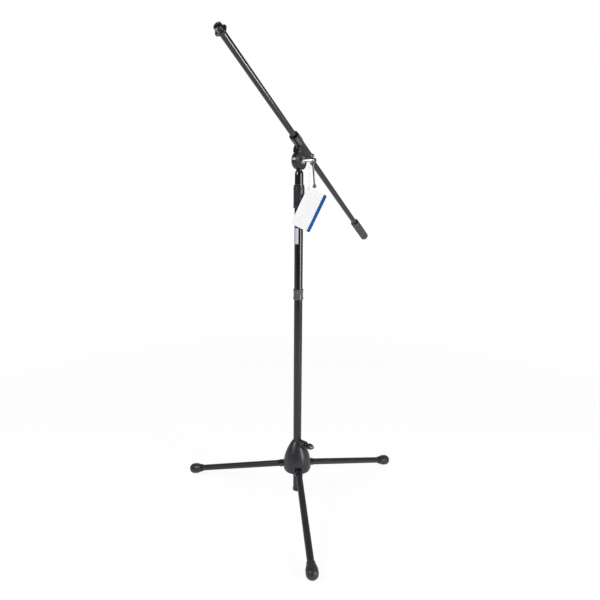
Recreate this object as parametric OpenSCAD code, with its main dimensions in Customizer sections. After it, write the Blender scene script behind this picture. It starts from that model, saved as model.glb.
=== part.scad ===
// Boom microphone stand: folding tripod base, telescoping mast, tilting boom with a counterweight.
// Millimetres, +Z up. The origin is on the floor, under the axis of the mast.

/* [Mast] */
// Outside diameter of the mast tubes
mast_od = 20; // [18:0.05:24]
// Wall of the mast tubes
mast_wall = 1.2; // [0.8:0.1:1.6]
// Height of the mast's lower end above the floor
mast_low_z = 23; // [16:1:32]
// Height of the middle of the coupling ring
coupling_z = 537; // [440:1:620]
// Length of the coupling ring
coupling_h = 25; // [20:1:36]
// Wall of the coupling ring at its beads
coupling_wall = 2.2; // [1.8:0.1:3.5]
// Depth of the coupling ring's waist
coupling_waist = 0.9; // [0.4:0.1:1.2]
// Height of the flange of the mast's end cap
end_cap_h = 7; // [4:0.5:12]

/* [Height clutch] */
// Height of the grip's lower edge
grip_z = 734; // [660:1:800]
// Length of the grip
grip_h = 51; // [46:1:66]
// Thickness of the grip's wall
grip_wall = 2; // [1.8:0.1:3]
// Depth of the grip's hollow panels
panel_depth = 0.9; // [0.4:0.1:1]
// Number of the grip's hollow panels
panel_count = 6; // [4:1:8]
// Height of the grip's plain top band
grip_band_h = 7; // [5:0.5:10]
// Length of the collet
collet_h = 17; // [12:0.5:19]
// Width of the collet's slit
collet_slit = 1.6; // [1:0.1:3]

/* [Riser] */
// Gap between the riser and the mast's bore
riser_gap = 0.375; // [0.3:0.025:0.6]
// Wall of the riser tube
riser_wall = 1; // [0.8:0.1:1.5]
// How far the riser pulls out
riser_travel = 540; // [300:5:560]
// Length of riser that stays in the mast when it is pulled out
riser_overlap = 20; // [10:1:60]

/* [Mast head] */
// Wall of the neck round the riser
neck_wall = 1.25; // [1.1:0.05:3]
// Height of the neck's straight part
neck_h = 19; // [14:0.5:26]
// Height of the neck's round shoulder
shoulder_h = 10; // [6:0.5:14]
// Diameter of the waist between shoulder and drum
waist_d = 13.6; // [11:0.2:16]
// Height of the waist below the drum
waist_h = 3; // [2:0.2:8]
// Diameter of the tilt drum
drum_d = 37.4; // [34:0.2:46]
// Reach of the drum left of the mast axis
drum_reach = 12; // [10:0.2:15]
// Diameter of the clamp bolt
bolt_d = 6.3; // [5:0.1:7]

/* [Boom holder] */
// Thickness of the cheek that faces the drum
cheek_t = 7.2; // [5:0.2:9]
// Wall of the sleeve round the liner
sleeve_wall = 2.2; // [1.8:0.1:3]
// Wall of the liner round the boom
liner_wall = 1.5; // [1:0.1:2.5]
// Length of the sleeve in front of the pivot
sleeve_front = 50; // [36:1:70]
// Length of the sleeve behind the pivot
sleeve_rear = 28; // [22:1:40]
// Distance of the handle's bar from the mast axis
handle_reach = 33.5; // [31:0.5:44]
// Length of the handle's sliding bar, between its balls
handle_len = 65; // [50:1:90]
// Turn of the handle's bar from square to the boom
handle_turn = -41; // [-50:1:-20]

/* [Boom] */
// Outside diameter of the boom tube
boom_od = 13; // [11:0.1:15]
// Wall of the boom tube
boom_wall = 0.9; // [0.7:0.1:1.4]
// Length of the boom tube in front of the pivot
boom_front = 340; // [200:1:420]
// Length of the boom tube behind the pivot
boom_rear = 435; // [320:1:500]
// Slope of the boom, tip up
boom_incline = 30; // [0:0.5:60]
// Turn of the boom's plane to the right, seen from above
boom_turn = 28.5; // [15:0.5:45]
// Sideways place of the boom from the mast axis
boom_side = 2.5; // [1.5:0.1:4]
// Diameter of the threaded stud at the boom's tip
stud_d = 15.875; // [9.525:0.005:16.5]
// Length of the threaded stud
stud_len = 16; // [12:0.5:22]
// Thickness of the lock ring on the stud
lock_ring_h = 5; // [4:0.5:7]
// Wall of the lock ring
lock_ring_wall = 2.2; // [1.8:0.1:3]
// Turn of the lock ring's ears from the pivot's axis
lock_ring_turn = -48; // [-180:1:180]
// Length of the counterweight
weight_len = 79; // [60:1:150]
// Wall of the steel counterweight
weight_wall = 2.7; // [2:0.1:5]
// Wall of the sleeve over the counterweight
weight_cover = 1.7; // [1:0.1:3]

/* [Base hub] */
// Greatest diameter of the hub
hub_d = 69.6; // [66:0.2:84]
// Height of the hub's top
hub_top_z = 163; // [158:1:185]
// Height of the hub's widest ring
hub_brow_z = 96; // [93:0.5:100]
// Height of the hub's lower rim
hub_rim_z = 83; // [80:0.5:85]
// Inward draw of the lower rim from the widest ring
hub_rim_draw = 3.8; // [2:0.1:5]
// Wall of the hub's skirt
hub_wall = 3; // [2.4:0.1:4]
// Wall round the mast at the hub's top
hub_top_wall = 2.6; // [2.4:0.1:4]
// Diameter of the boss that holds the thumbscrew
boss_d = 18; // [16:0.2:20]
// Reach of that boss from the mast axis
boss_reach = 27; // [25:0.5:34]
// Turn of the thumbscrew from the +X axis
screw_turn = -40; // [-60:1:0]
// Diameter of the thumbscrew's thread
screw_d = 6; // [5:0.5:6]
// Length of the thumbscrew's paddle
paddle_len = 26; // [20:0.5:32]
// Width of the thumbscrew's paddle
paddle_w = 15; // [12:0.5:18]
// Turn of the paddle on the screw's axis, from level
paddle_turn = 55; // [0:1:90]

/* [Legs] */
// Outside diameter of the leg tubes
leg_od = 15.9; // [14:0.1:17]
// Wall of the leg tubes
leg_wall = 1; // [0.8:0.1:1.5]
// Distance of a foot's bulb from the mast axis
foot_reach = 315; // [240:1:360]
// Diameter of a foot's bulb
foot_d = 27.5; // [24:0.5:32]
// Depth of the flat that a foot stands on
foot_flat = 0.75; // [0.5:0.05:1.5]
// Direction of the front leg, from the +X axis
leg_turn = -84; // [-90:0.5:-80]
// Distance of a leg's pin inside the hub's widest ring
pin_inset = 10.8; // [10:0.1:12]
// Height of the leg pins
pin_z = 95.5; // [94:0.25:97]
// Diameter of the leg pins
pin_d = 5; // [4:0.1:6]
// Thickness of a knuckle's tongue
tongue_w = 10; // [8:0.2:11]
// Wall of a knuckle's ferrule round the leg tube
ferrule_wall = 1.4; // [0.8:0.05:1.8]
// Length of a knuckle's ferrule
ferrule_len = 16; // [12:0.5:24]

/* [Hang tag] */
// Width of the card
tag_w = 47; // [40:1:56]
// Length of the card
tag_len = 89; // [80:1:110]
// Thickness of the card
tag_t = 0.6; // [0.4:0.1:1]
// Depth of the card's hole below the pivot
loop_drop = 61; // [50:1:80]
// Thickness of the loop that the card hangs on
loop_d = 1; // [0.8:0.1:2]

/* [Hidden] */
$fn = 64;

// Clearances
press_gap = 0.02;   // radial, between pieces that are pressed together
run_gap = 0.05;     // radial, between a shaft and the bore that it runs in
free_gap = 0.3;     // between pieces that move past each other
cut = 1;            // overrun of a cut past the face that it opens

// Colours
black_tube = [0.10, 0.10, 0.11];
black_plastic = [0.08, 0.08, 0.09];
satin_plastic = [0.16, 0.16, 0.18];
black_rubber = [0.05, 0.05, 0.05];
grey_cover = [0.22, 0.22, 0.23];
bright_steel = [0.82, 0.82, 0.84];
plain_steel = [0.55, 0.56, 0.58];
fibre = [0.30, 0.22, 0.16];
paper = [0.95, 0.95, 0.97];
nylon = [0.88, 0.88, 0.86];

// Mast, clutch and riser
mast_r = mast_od / 2;
mast_bore_r = mast_r - mast_wall;
coupling_r = mast_r + press_gap + coupling_wall;
coupling_rib_h = 2;
coupling_bead = 3;
coupling_edge = 1;
end_cap_lip = 0.8;
end_cap_r = mast_r + end_cap_lip;
end_cap_edge = 1.2;
end_plug_h = 14;
clutch_body_wall = 0.8;
clutch_body_r = mast_r + press_gap + clutch_body_wall;
grip_bore_r = clutch_body_r + run_gap;
grip_r = grip_bore_r + grip_wall;
grip_band_step = 1;
grip_band_r = grip_r - grip_band_step;
grip_edge = 0.8;
grip_top_z = grip_z + grip_h;
grip_cap_h = 5.5;
panel_r = 10;                             // radius of a panel's hollow
panel_arch = 5.5;                         // depth of a panel's arch below the top band
panel_foot = 3;                           // height of the grip's plain lower band
collet_taper_h = 5;
collet_taper = 0.9;
collet_z = grip_top_z - grip_cap_h - free_gap - collet_h;
clutch_inset = 2;                         // depth of the bush's lower end inside the grip
clutch_body_z = grip_z + clutch_inset;
clutch_body_top = collet_z - free_gap;
clutch_seat_h = 12;                       // length of the lip above the mast's end
mast_top_z = clutch_body_top - clutch_seat_h;
riser_r = mast_bore_r - riser_gap;
riser_bore_r = riser_r - riser_wall;
riser_low_z = grip_z - riser_overlap - riser_travel;
guide_h = 6;
guide_plug_h = 18;

// Mast head and pivot
neck_z = grip_top_z + free_gap;
neck_r = riser_r + press_gap + neck_wall;
waist_r = waist_d / 2;
drum_r = drum_d / 2;
pivot_z = neck_z + neck_h + shoulder_h + waist_h + drum_r;
riser_top_z = neck_z + neck_h;
bolt_r = bolt_d / 2;
drum_face = 0.6;                          // side of the drum's right face
drum_round = 6;                           // radius of the drum's left edge
disc_t = 0.8;
disc_r = drum_r - 2;
cheek_face = drum_face + disc_t + free_gap;
cheek_end = cheek_face + cheek_t;
cheek_lip = 0.6;                          // reach of the cheek past the drum
cheek_r = drum_r + cheek_lip;
cheek_room = 1;                           // room round the cheek in the head
web_turn = 30;                            // where the hood leaves the cheek's rim, up from level
hood_inset = 1.5;                         // from the drum's left face to the hood's
hood_draw = 1.5;                          // inward draw of the hood's upper left edge under the sleeve
nut_across = bolt_d * 1.75;
nut_r = nut_across / 2 / cos(30);
nut_h = bolt_d * 0.85;
washer_t = 1.4;
washer_lip = 5.4;
washer_r = bolt_r + washer_lip;
shoulder_t = 3;
shoulder_lip = 2.4;
shoulder_r = bolt_r + shoulder_lip;
head_lip = 1.95;
head_r = bolt_r + head_lip;
head_len = 14;
head_edge = 1;
bar_r = 1.9;
bar_ball_r = 4.4;
handle_stop = head_r + bar_ball_r + free_gap;  // from the bolt's axis to the ball above its head
bolt_inset = 1;                           // depth of the bolt's end inside the nut

// Boom
boom_r = boom_od / 2;
boom_bore_r = boom_r - boom_wall;
liner_bore_r = boom_r + run_gap;
liner_r = liner_bore_r + liner_wall;
sleeve_bore_r = liner_r + run_gap;
sleeve_r = sleeve_bore_r + sleeve_wall;
collar_len = 26;                          // length of the sleeve's front collar
collar_step = 0.6;
sleeve_gap = 0.4;                         // between the sleeve and the drum
boom_rise = drum_r + sleeve_gap + sleeve_r - collar_step;
liner_flange_t = 1.6;
stud_r = stud_d / 2;
stud_plug_len = 22;
stud_bore_r = 4.6;
stud_bore_len = 13;
stud_edge = 1;
stud_foot_h = 2;                          // plain foot of the stud, behind the lock ring
groove_w = 0.6;
groove_depth = 0.5;
lock_ring_bore_r = stud_r + run_gap;
lock_ring_r = lock_ring_bore_r + lock_ring_wall;
ear_reach = 1.7;                          // reach of the lock ring's ears past its rim
ear_w = 4.5;
weight_bore_r = boom_r + press_gap;
weight_r = weight_bore_r + weight_wall;
cover_bore_r = weight_r + press_gap;
cover_r = cover_bore_r + weight_cover;
cover_end = 4;                            // thickness of the cover's closed end
cover_lip = 6;                            // length of the cover's front lip round the boom
cover_round = 4.5;
cover_edge = 1;

// Base
hub_r = hub_d / 2;
hub_bore_r = mast_r + run_gap;
hub_top_r = mast_r + hub_top_wall;
hub_rim_r = hub_r - hub_rim_draw;
hub_core_wall = 3.2;
hub_core_r = hub_bore_r + hub_core_wall;
hub_top_chamfer = 0.8;
leg_r = leg_od / 2;
leg_bore_r = leg_r - leg_wall;
foot_r = foot_d / 2;
foot_z = foot_r - foot_flat;
pin_reach = hub_r - pin_inset;
pin_r = pin_d / 2;
leg_slope = atan2(pin_z - foot_z, foot_reach - pin_reach);
leg_len = norm([foot_reach - pin_reach, pin_z - foot_z]);
leg_turns = [leg_turn, leg_turn - 120, leg_turn + 120];
eye_wall = 3.5;
eye_r = pin_r + eye_wall;
ear_lip = 2.2;
ear_r = eye_r + ear_lip;
ear_t = 4;
ear_gap = 0.4;
ear_y = tongue_w / 2 + ear_gap;
ferrule_r = leg_r + press_gap + ferrule_wall;
ferrule_gap = 0.8;                        // between the ears and the ferrule
ferrule_x = ear_r + ferrule_gap;
ferrule_floor = 3;                        // thickness between the tongue and the tube's end
tube_x = ferrule_x + ferrule_floor;
spigot_len = 24;
slot_gap = 0.4;
slot_w = 2 * (ferrule_r + slot_gap);
slot_top = ferrule_r + free_gap;
cavity_room = 9;                          // height of the hollow above the ears
cavity_top = pin_z + ear_r + cavity_room;
boss_sink = 5;                            // depth of the boss's axis below the hub's top
boss_z = hub_top_z - boss_sink;
boss_top_z = boss_z + boss_d / 2;
insert_across = screw_d * 5 / 3;
insert_r = insert_across / 2 / cos(30);
insert_h = 5;
insert_sink = 0.5;
insert_z = boss_reach - insert_h - insert_sink;
screw_tip_r = mast_r + free_gap;
screw_collar_lip = 2;
screw_collar_r = screw_d / 2 + screw_collar_lip;
screw_collar_t = 3;
screw_gap = 1;                            // between the boss and the screw's collar
screw_collar_z = boss_reach + screw_gap;
paddle_t = 5;
paddle_wall = 1.2;                        // wall of the paddle's hub round the collar
paddle_floor = 1.5;
foot_skin = 3;                            // rubber between the tube's end and the bulb's middle
foot_lip = 1.5;
foot_neck = 27;                           // from a foot's lip to the middle of its bulb
foot_straight = 7;
foot_swell = 0.6;                         // step from the lip to the neck
foot_step = 1;                            // length of that step

// Hang tag, in front of the grip, with its middle straight below the hole in its corner
card_gap = 0.4;
tag_y = -(grip_r + card_gap + tag_t / 2);
tag_corner = 3;
hole_inset = 4.6;                         // from the card's top and left edges to the middle of its hole
hole_up = tag_len / 2 - hole_inset;
hole_left = tag_w / 2 - hole_inset;
tag_tilt = atan2(hole_left, hole_up);
tag_drop = loop_drop + norm([hole_left, hole_up]);
hole_r = 2.6;
eyelet_r = 4.2;
eyelet_bore_r = 1.8;
eyelet_t = 1.2;
loop_r = loop_d / 2;
loop_gap = 1;                             // between the loop and the bolt's head
loop_side = handle_reach - head_len / 2 - loop_r - loop_gap;
tag_x = loop_side * cos(boom_turn);
loop_turn_r = bolt_r + free_gap + loop_r;
loop_slack = 0.6;
loop_spread = tag_t / 2 + loop_r + loop_slack;
loop_knot = 1.06;                         // fullness of the loop's bends

// Points on an arc of an ellipse, from one angle to another
function arc(cx, cy, rx, ry, from, to, n = 12) =
    [for (i = [0 : n]) let (a = from + (to - from) * i / n) [cx + rx * cos(a), cy + ry * sin(a)]];

// Radius of the hub's bell at a share of its height, from the widest ring to the top
function bell_r(u) = hub_top_r + (hub_r - hub_top_r) * (1 - u * u);

// Radius of a foot's neck at a share of its length, an easy curve from lip to bulb
function foot_neck_r(u) =
    let (low = leg_r + foot_lip + foot_swell) low + (foot_r - low) * u * u * (3 - 2 * u);

// The frame of the pivot: X along its axis to the right, Y to the boom's rear
module at_pivot() {
    translate([0, 0, pivot_z]) rotate([0, 0, -boom_turn]) children();
}

// The frame of the boom's tilt: Y along the boom to the rear, Z away from it
module at_tilt() {
    at_pivot() rotate([-boom_incline, 0, 0]) children();
}

// The frame of the boom tube: Z along its axis to the rear, from abreast of the pivot
module at_boom() {
    at_tilt() translate([boom_side, 0, boom_rise]) rotate([-90, 0, 0]) children();
}

// The frame of one leg: X along the leg from its pin, Y along the pin
module at_leg(i) {
    rotate([0, 0, leg_turns[i]])
        translate([pin_reach, 0, pin_z])
            rotate([0, leg_slope, 0])
                children();
}

// The frame of the thumbscrew: Z outward along its axis, from the mast axis
module at_screw() {
    translate([0, 0, boss_z]) rotate([0, 0, screw_turn]) rotate([0, 90, 0]) children();
}

// Turns a shape that stands along Z so that it lies along X
module along_x() {
    rotate([0, 90, 0]) children();
}

// A ring or tube that stands on z
module tube(r_out, r_in, z, h) {
    translate([0, 0, z]) difference() {
        cylinder(r = r_out, h = h);
        translate([0, 0, -cut]) cylinder(r = r_in, h = h + 2 * cut);
    }
}

// A round rod between two points, with a slightly fuller ball at each end
module rod(p, q, r) {
    d = q - p;
    l = norm(d);
    translate(p) rotate([0, acos(d[2] / l), atan2(d[1], d[0])]) cylinder(r = r, h = l);
    for (end = [p, q]) translate(end) sphere(r = r * loop_knot);
}

// The hub's outer bell as a solid
module hub_bell() {
    rim_h = hub_brow_z - hub_rim_z;
    bell_h = hub_top_z - hub_top_chamfer - hub_brow_z;
    rotate_extrude() polygon(concat(
        [[0, hub_rim_z]],
        arc(hub_rim_r, hub_brow_z, hub_rim_draw, rim_h, -90, 0),
        [for (i = [1 : 20]) [bell_r(i / 20), hub_brow_z + bell_h * i / 20]],
        [[hub_top_r - hub_top_chamfer, hub_top_z], [0, hub_top_z]]
    ));
}

// The hollow under the bell, round the core that guides the mast
module hub_hollow() {
    u = (cavity_top - hub_brow_z) / (hub_top_z - hub_brow_z);
    rotate_extrude() polygon([
        [hub_core_r, hub_rim_z - cut],
        [hub_rim_r - hub_wall, hub_rim_z - cut],
        [hub_r - hub_wall, hub_brow_z],
        [bell_r(u) - hub_wall, cavity_top],
        [hub_core_r, cavity_top]
    ]);
}

// The two ears that hold one leg's pin
module hub_ears(i) {
    rotate([0, 0, leg_turns[i]])
        for (s = [-1, 1])
            translate([pin_reach, s * (ear_y + ear_t / 2), pin_z]) {
                rotate([90, 0, 0]) cylinder(r = ear_r, h = ear_t, center = true);
                translate([-ear_r, -ear_t / 2, 0]) cube([2 * ear_r, ear_t, cavity_top - pin_z + cut]);
            }
}

// The slot in the skirt that one leg swings in
module hub_slot(i) {
    at_leg(i)
        translate([-ear_r - 1, -slot_w / 2, slot_top - hub_r * 2])
            cube([hub_d, slot_w, hub_r * 2]);
}

module hub_housing() {
    color(satin_plastic) difference() {
        union() {
            difference() {
                hub_bell();
                hub_hollow();
                for (i = [0 : 2]) hub_slot(i);
            }
            intersection() {
                hub_bell();
                for (i = [0 : 2]) hub_ears(i);
            }
            at_screw() cylinder(d = boss_d, h = boss_reach);
        }
        translate([0, 0, hub_rim_z - cut]) cylinder(r = hub_bore_r, h = boss_top_z - hub_rim_z + 2 * cut);
        for (i = [0 : 2])
            at_leg(i) rotate([90, 0, 0])
                cylinder(r = pin_r + press_gap, h = slot_w + 2 * ear_t, center = true);
        at_screw() cylinder(d = screw_d + 2 * free_gap, h = boss_reach + cut);
        at_screw() translate([0, 0, insert_z])
            cylinder(r = insert_r + press_gap, h = insert_h + cut, $fn = 6);
    }
}

module hub_clamp_nut() {
    color(plain_steel) at_screw() translate([0, 0, insert_z]) difference() {
        cylinder(r = insert_r, h = insert_h, $fn = 6);
        translate([0, 0, -cut]) cylinder(d = screw_d + 2 * run_gap, h = insert_h + 2 * cut);
    }
}

module leg_pins() {
    color(plain_steel)
        for (i = [0 : 2])
            at_leg(i) rotate([90, 0, 0])
                cylinder(r = pin_r, h = 2 * (ear_y + ear_t), center = true);
}

module hub_thumbscrew() {
    color(plain_steel) at_screw() {
        translate([0, 0, screw_tip_r]) cylinder(d = screw_d, h = screw_collar_z - screw_tip_r);
        translate([0, 0, screw_collar_z]) cylinder(r = screw_collar_r, h = screw_collar_t);
    }
}

// A flat paddle with a pointed oval outline, moulded on the screw's collar
module thumbscrew_paddle() {
    half = paddle_len / 2;
    bow_r = (half * half + paddle_w * paddle_w / 4) / paddle_w;
    color(black_plastic) at_screw()
        translate([0, 0, screw_collar_z]) rotate([0, 0, paddle_turn]) difference() {
            union() {
                translate([0, 0, half])
                    rotate([90, 0, 90]) linear_extrude(height = paddle_t, center = true)
                        intersection() {
                            translate([bow_r - paddle_w / 2, 0]) circle(r = bow_r, $fn = 120);
                            translate([paddle_w / 2 - bow_r, 0]) circle(r = bow_r, $fn = 120);
                        }
                cylinder(r = screw_collar_r + paddle_wall, h = screw_collar_t + paddle_floor);
            }
            translate([0, 0, -paddle_len])
                cylinder(r = screw_collar_r + press_gap, h = paddle_len + screw_collar_t);
        }
}

module leg_tube(i) {
    color(black_tube) at_leg(i) along_x()
        tube(leg_r, leg_bore_r, tube_x, leg_len - foot_skin - tube_x);
}

module leg_knuckle(i) {
    color(black_plastic) at_leg(i) difference() {
        union() {
            rotate([90, 0, 0]) cylinder(r = eye_r, h = tongue_w, center = true);
            translate([0, -tongue_w / 2, -eye_r]) cube([tube_x, tongue_w, 2 * eye_r]);
            along_x() translate([0, 0, ferrule_x]) cylinder(r = ferrule_r, h = ferrule_floor);
            along_x()
                tube(ferrule_r, leg_r + press_gap, ferrule_x + ferrule_floor, ferrule_len - ferrule_floor);
            along_x() translate([0, 0, tube_x]) cylinder(r = leg_bore_r - press_gap, h = spigot_len);
        }
        rotate([90, 0, 0]) cylinder(r = pin_r + run_gap, h = tongue_w + 2 * cut, center = true);
    }
}

// A rubber foot: a lip on the tube, a neck that swells to a bulb, and a flat to stand on
module leg_foot(i) {
    swell_len = foot_neck - foot_step - foot_straight;
    color(black_rubber) difference() {
        at_leg(i) along_x() translate([0, 0, leg_len]) difference() {
            rotate_extrude() polygon(concat(
                [[0, -foot_neck], [leg_r + foot_lip, -foot_neck]],
                [for (k = [0 : 12]) [foot_neck_r(k / 12), foot_step - foot_neck + swell_len * k / 12]],
                arc(0, 0, foot_r, foot_r, 0, 90, 16)
            ));
            translate([0, 0, -foot_neck - cut])
                cylinder(r = leg_r + press_gap, h = foot_neck - foot_skin + cut);
        }
        translate([-2 * foot_reach, -2 * foot_reach, -foot_d])
            cube([4 * foot_reach, 4 * foot_reach, foot_d]);
    }
}

module leg_tube_front() { leg_tube(0); }
module leg_tube_left() { leg_tube(1); }
module leg_tube_right() { leg_tube(2); }
module leg_knuckle_front() { leg_knuckle(0); }
module leg_knuckle_left() { leg_knuckle(1); }
module leg_knuckle_right() { leg_knuckle(2); }
module foot_front() { leg_foot(0); }
module foot_left() { leg_foot(1); }
module foot_right() { leg_foot(2); }

module mast_lower_tube() {
    z = mast_low_z + end_cap_h + press_gap;
    color(black_tube) tube(mast_r, mast_bore_r, z, coupling_z - coupling_rib_h / 2 - z);
}

module mast_upper_tube() {
    z = coupling_z + coupling_rib_h / 2;
    color(black_tube) tube(mast_r, mast_bore_r, z, mast_top_z - z);
}

module mast_end_cap() {
    color(black_plastic) {
        rotate_extrude() polygon([
            [0, mast_low_z],
            [end_cap_r - end_cap_edge, mast_low_z],
            [end_cap_r, mast_low_z + end_cap_edge],
            [end_cap_r, mast_low_z + end_cap_h],
            [mast_bore_r - press_gap, mast_low_z + end_cap_h],
            [mast_bore_r - press_gap, mast_low_z + end_cap_h + end_plug_h],
            [0, mast_low_z + end_cap_h + end_plug_h]
        ]);
    }
}

// The coupling: a ring with a bead at each end, a drawn waist, and a rib between the two tubes
module mast_coupling() {
    half = coupling_h / 2;
    waist = half - coupling_bead;
    color(black_plastic) translate([0, 0, coupling_z]) difference() {
        rotate_extrude() polygon(concat(
            [[0, -half], [coupling_r - coupling_edge, -half]],
            [[coupling_r, coupling_edge - half], [coupling_r, -waist]],
            [for (k = [1 : 11])
                let (a = -90 + 180 * k / 12)
                [coupling_r - coupling_waist * cos(a), waist * sin(a)]],
            [[coupling_r, waist], [coupling_r, half - coupling_edge]],
            [[coupling_r - coupling_edge, half], [0, half]]
        ));
        translate([0, 0, -half - cut]) cylinder(r = mast_bore_r, h = coupling_h + 2 * cut);
        translate([0, 0, coupling_rib_h / 2]) cylinder(r = mast_r + press_gap, h = half + cut);
        translate([0, 0, -half - cut]) cylinder(r = mast_r + press_gap, h = half + cut - coupling_rib_h / 2);
    }
}

// The bush on the mast's end that the grip screws on to, with a lip that carries the collet
module clutch_body() {
    color(black_plastic) {
        tube(clutch_body_r, mast_r + press_gap, clutch_body_z, mast_top_z - clutch_body_z);
        tube(clutch_body_r, riser_r + free_gap, mast_top_z, clutch_seat_h);
    }
}

// A split ring that the grip closes on the riser, with a tapered top
module clutch_collet() {
    r = grip_bore_r - free_gap;
    straight_h = collet_h - collet_taper_h;
    color(nylon) translate([0, 0, collet_z]) difference() {
        union() {
            cylinder(r = r, h = straight_h);
            translate([0, 0, straight_h]) cylinder(r1 = r, r2 = r - collet_taper, h = collet_taper_h);
        }
        translate([0, 0, -cut]) cylinder(r = riser_r + run_gap, h = collet_h + 2 * cut);
        translate([0, -collet_slit / 2, -cut]) cube([grip_r, collet_slit, collet_h + 2 * cut]);
    }
}

// One hollow panel of the grip, with an arched top
module grip_panel() {
    panel_low = grip_z + panel_foot;
    panel_top = grip_top_z - grip_band_h - panel_arch;
    translate([grip_r + panel_r - panel_depth, 0, 0]) {
        translate([0, 0, panel_low]) cylinder(r = panel_r, h = panel_top - panel_low);
        translate([0, 0, panel_top]) sphere(r = panel_r);
    }
}

module clutch_grip() {
    top = grip_top_z - grip_band_h;
    color(black_plastic) difference() {
        rotate_extrude() polygon([
            [0, grip_z],
            [grip_r - grip_edge, grip_z],
            [grip_r, grip_z + grip_edge],
            [grip_r, top],
            [grip_band_r, top + grip_band_step],
            [grip_band_r, grip_top_z - grip_edge],
            [grip_band_r - grip_edge, grip_top_z],
            [0, grip_top_z]
        ]);
        translate([0, 0, grip_z - cut]) cylinder(r = grip_bore_r, h = grip_h - grip_cap_h + cut);
        translate([0, 0, grip_z]) cylinder(r = riser_r + free_gap, h = grip_h + cut);
        for (i = [0 : panel_count - 1])
            rotate([0, 0, 360 * (i + 0.5) / panel_count - 90]) grip_panel();
    }
}

module riser_tube() {
    color(bright_steel) tube(riser_r, riser_bore_r, riser_low_z, riser_top_z - riser_low_z);
}

// The plug in the riser's lower end, with a head that runs in the mast's bore
module riser_guide_plug() {
    color(nylon) translate([0, 0, riser_low_z]) {
        translate([0, 0, -guide_h]) cylinder(r = mast_bore_r - run_gap, h = guide_h);
        cylinder(r = riser_bore_r - press_gap, h = guide_plug_h);
    }
}

// The head: a socket on the riser with a round shoulder, and the left half of the tilt drum
module mast_head() {
    shoulder_z = neck_z + neck_h;
    color(black_plastic) difference() {
        union() {
            rotate_extrude() polygon(concat(
                [[0, neck_z], [neck_r, neck_z]],
                arc(waist_r, shoulder_z, neck_r - waist_r, shoulder_h, 0, 90),
                [[waist_r, pivot_z - drum_r / 2], [0, pivot_z - drum_r / 2]]
            ));
            at_pivot() along_x() rotate_extrude() polygon(concat(
                [[0, -drum_reach]],
                arc(drum_r - drum_round, drum_round - drum_reach, drum_round, drum_round, -90, 0),
                [[drum_r, drum_face], [0, drum_face]]
            ));
        }
        translate([0, 0, neck_z - cut]) cylinder(r = riser_r + press_gap, h = riser_top_z - neck_z + cut);
        at_pivot() along_x() translate([0, 0, -drum_reach - cut])
            cylinder(r = bolt_r + free_gap, h = drum_reach + drum_face + 2 * cut);
        at_pivot() along_x() translate([0, 0, -drum_reach - cut])
            cylinder(r = nut_r + press_gap, h = nut_h + cut, $fn = 6);
        at_pivot() along_x() translate([0, 0, drum_face - disc_t / 2])
            cylinder(r = disc_r + press_gap, h = disc_t);
        at_pivot() along_x() translate([0, 0, drum_face])
            cylinder(r = cheek_r + cheek_room, h = cheek_t + drum_reach);
    }
}

module clamp_nut() {
    color(bright_steel) at_pivot() along_x() translate([0, 0, -drum_reach]) difference() {
        cylinder(r = nut_r, h = nut_h, $fn = 6);
        translate([0, 0, -cut]) cylinder(r = bolt_r + run_gap, h = nut_h + 2 * cut);
    }
}

// The friction disc, half sunk in the drum's face
module tilt_friction_disc() {
    color(fibre) at_pivot() along_x()
        tube(disc_r, bolt_r + free_gap, drum_face - disc_t / 2, disc_t * 3 / 2);
}

// The hood of the holder: it widens from the sleeve down to the drum, and runs clear over it
module holder_hood() {
    web = cheek_r * [cos(web_turn), sin(web_turn)];
    left = hood_inset - drum_reach;
    top_left = boom_side - sleeve_r + hood_draw;
    difference() {
        intersection() {
            translate([left, 0, 0]) rotate([90, 0, 90]) linear_extrude(height = cheek_end - left)
                polygon([
                    [-web[0], web[1]], web,
                    [sleeve_rear, boom_rise], [-sleeve_front + collar_len, boom_rise]
                ]);
            translate([0, sleeve_rear, 0]) rotate([90, 0, 0])
                linear_extrude(height = sleeve_front + sleeve_rear) polygon([
                    [left, 0], [cheek_end, 0], [cheek_end, boom_rise], [top_left, boom_rise], [left, drum_r]
                ]);
        }
        along_x() translate([0, 0, left - cut])
            cylinder(r = drum_r + sleeve_gap, h = cheek_face - left + cut);
    }
}

// The holder: a cheek that faces the drum, a hood over it, and the sleeve that carries the boom
module boom_holder() {
    color(satin_plastic) difference() {
        union() {
            at_tilt() along_x() translate([0, 0, cheek_face]) cylinder(r = cheek_r, h = cheek_t);
            at_tilt() holder_hood();
            at_boom() translate([0, 0, -sleeve_front]) cylinder(r = sleeve_r, h = collar_len);
            at_boom() translate([0, 0, -sleeve_front + collar_len])
                cylinder(r = sleeve_r - collar_step, h = sleeve_front + sleeve_rear - collar_len);
        }
        at_boom() translate([0, 0, -sleeve_front - cut])
            cylinder(r = sleeve_bore_r, h = sleeve_front + sleeve_rear + 2 * cut);
        at_tilt() along_x() translate([0, 0, cheek_face - cut])
            cylinder(r = bolt_r + run_gap, h = cheek_t + 2 * cut);
    }
}

module clamp_washer() {
    color(bright_steel) at_tilt() along_x() tube(washer_r, bolt_r + run_gap, cheek_end, washer_t);
}

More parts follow.
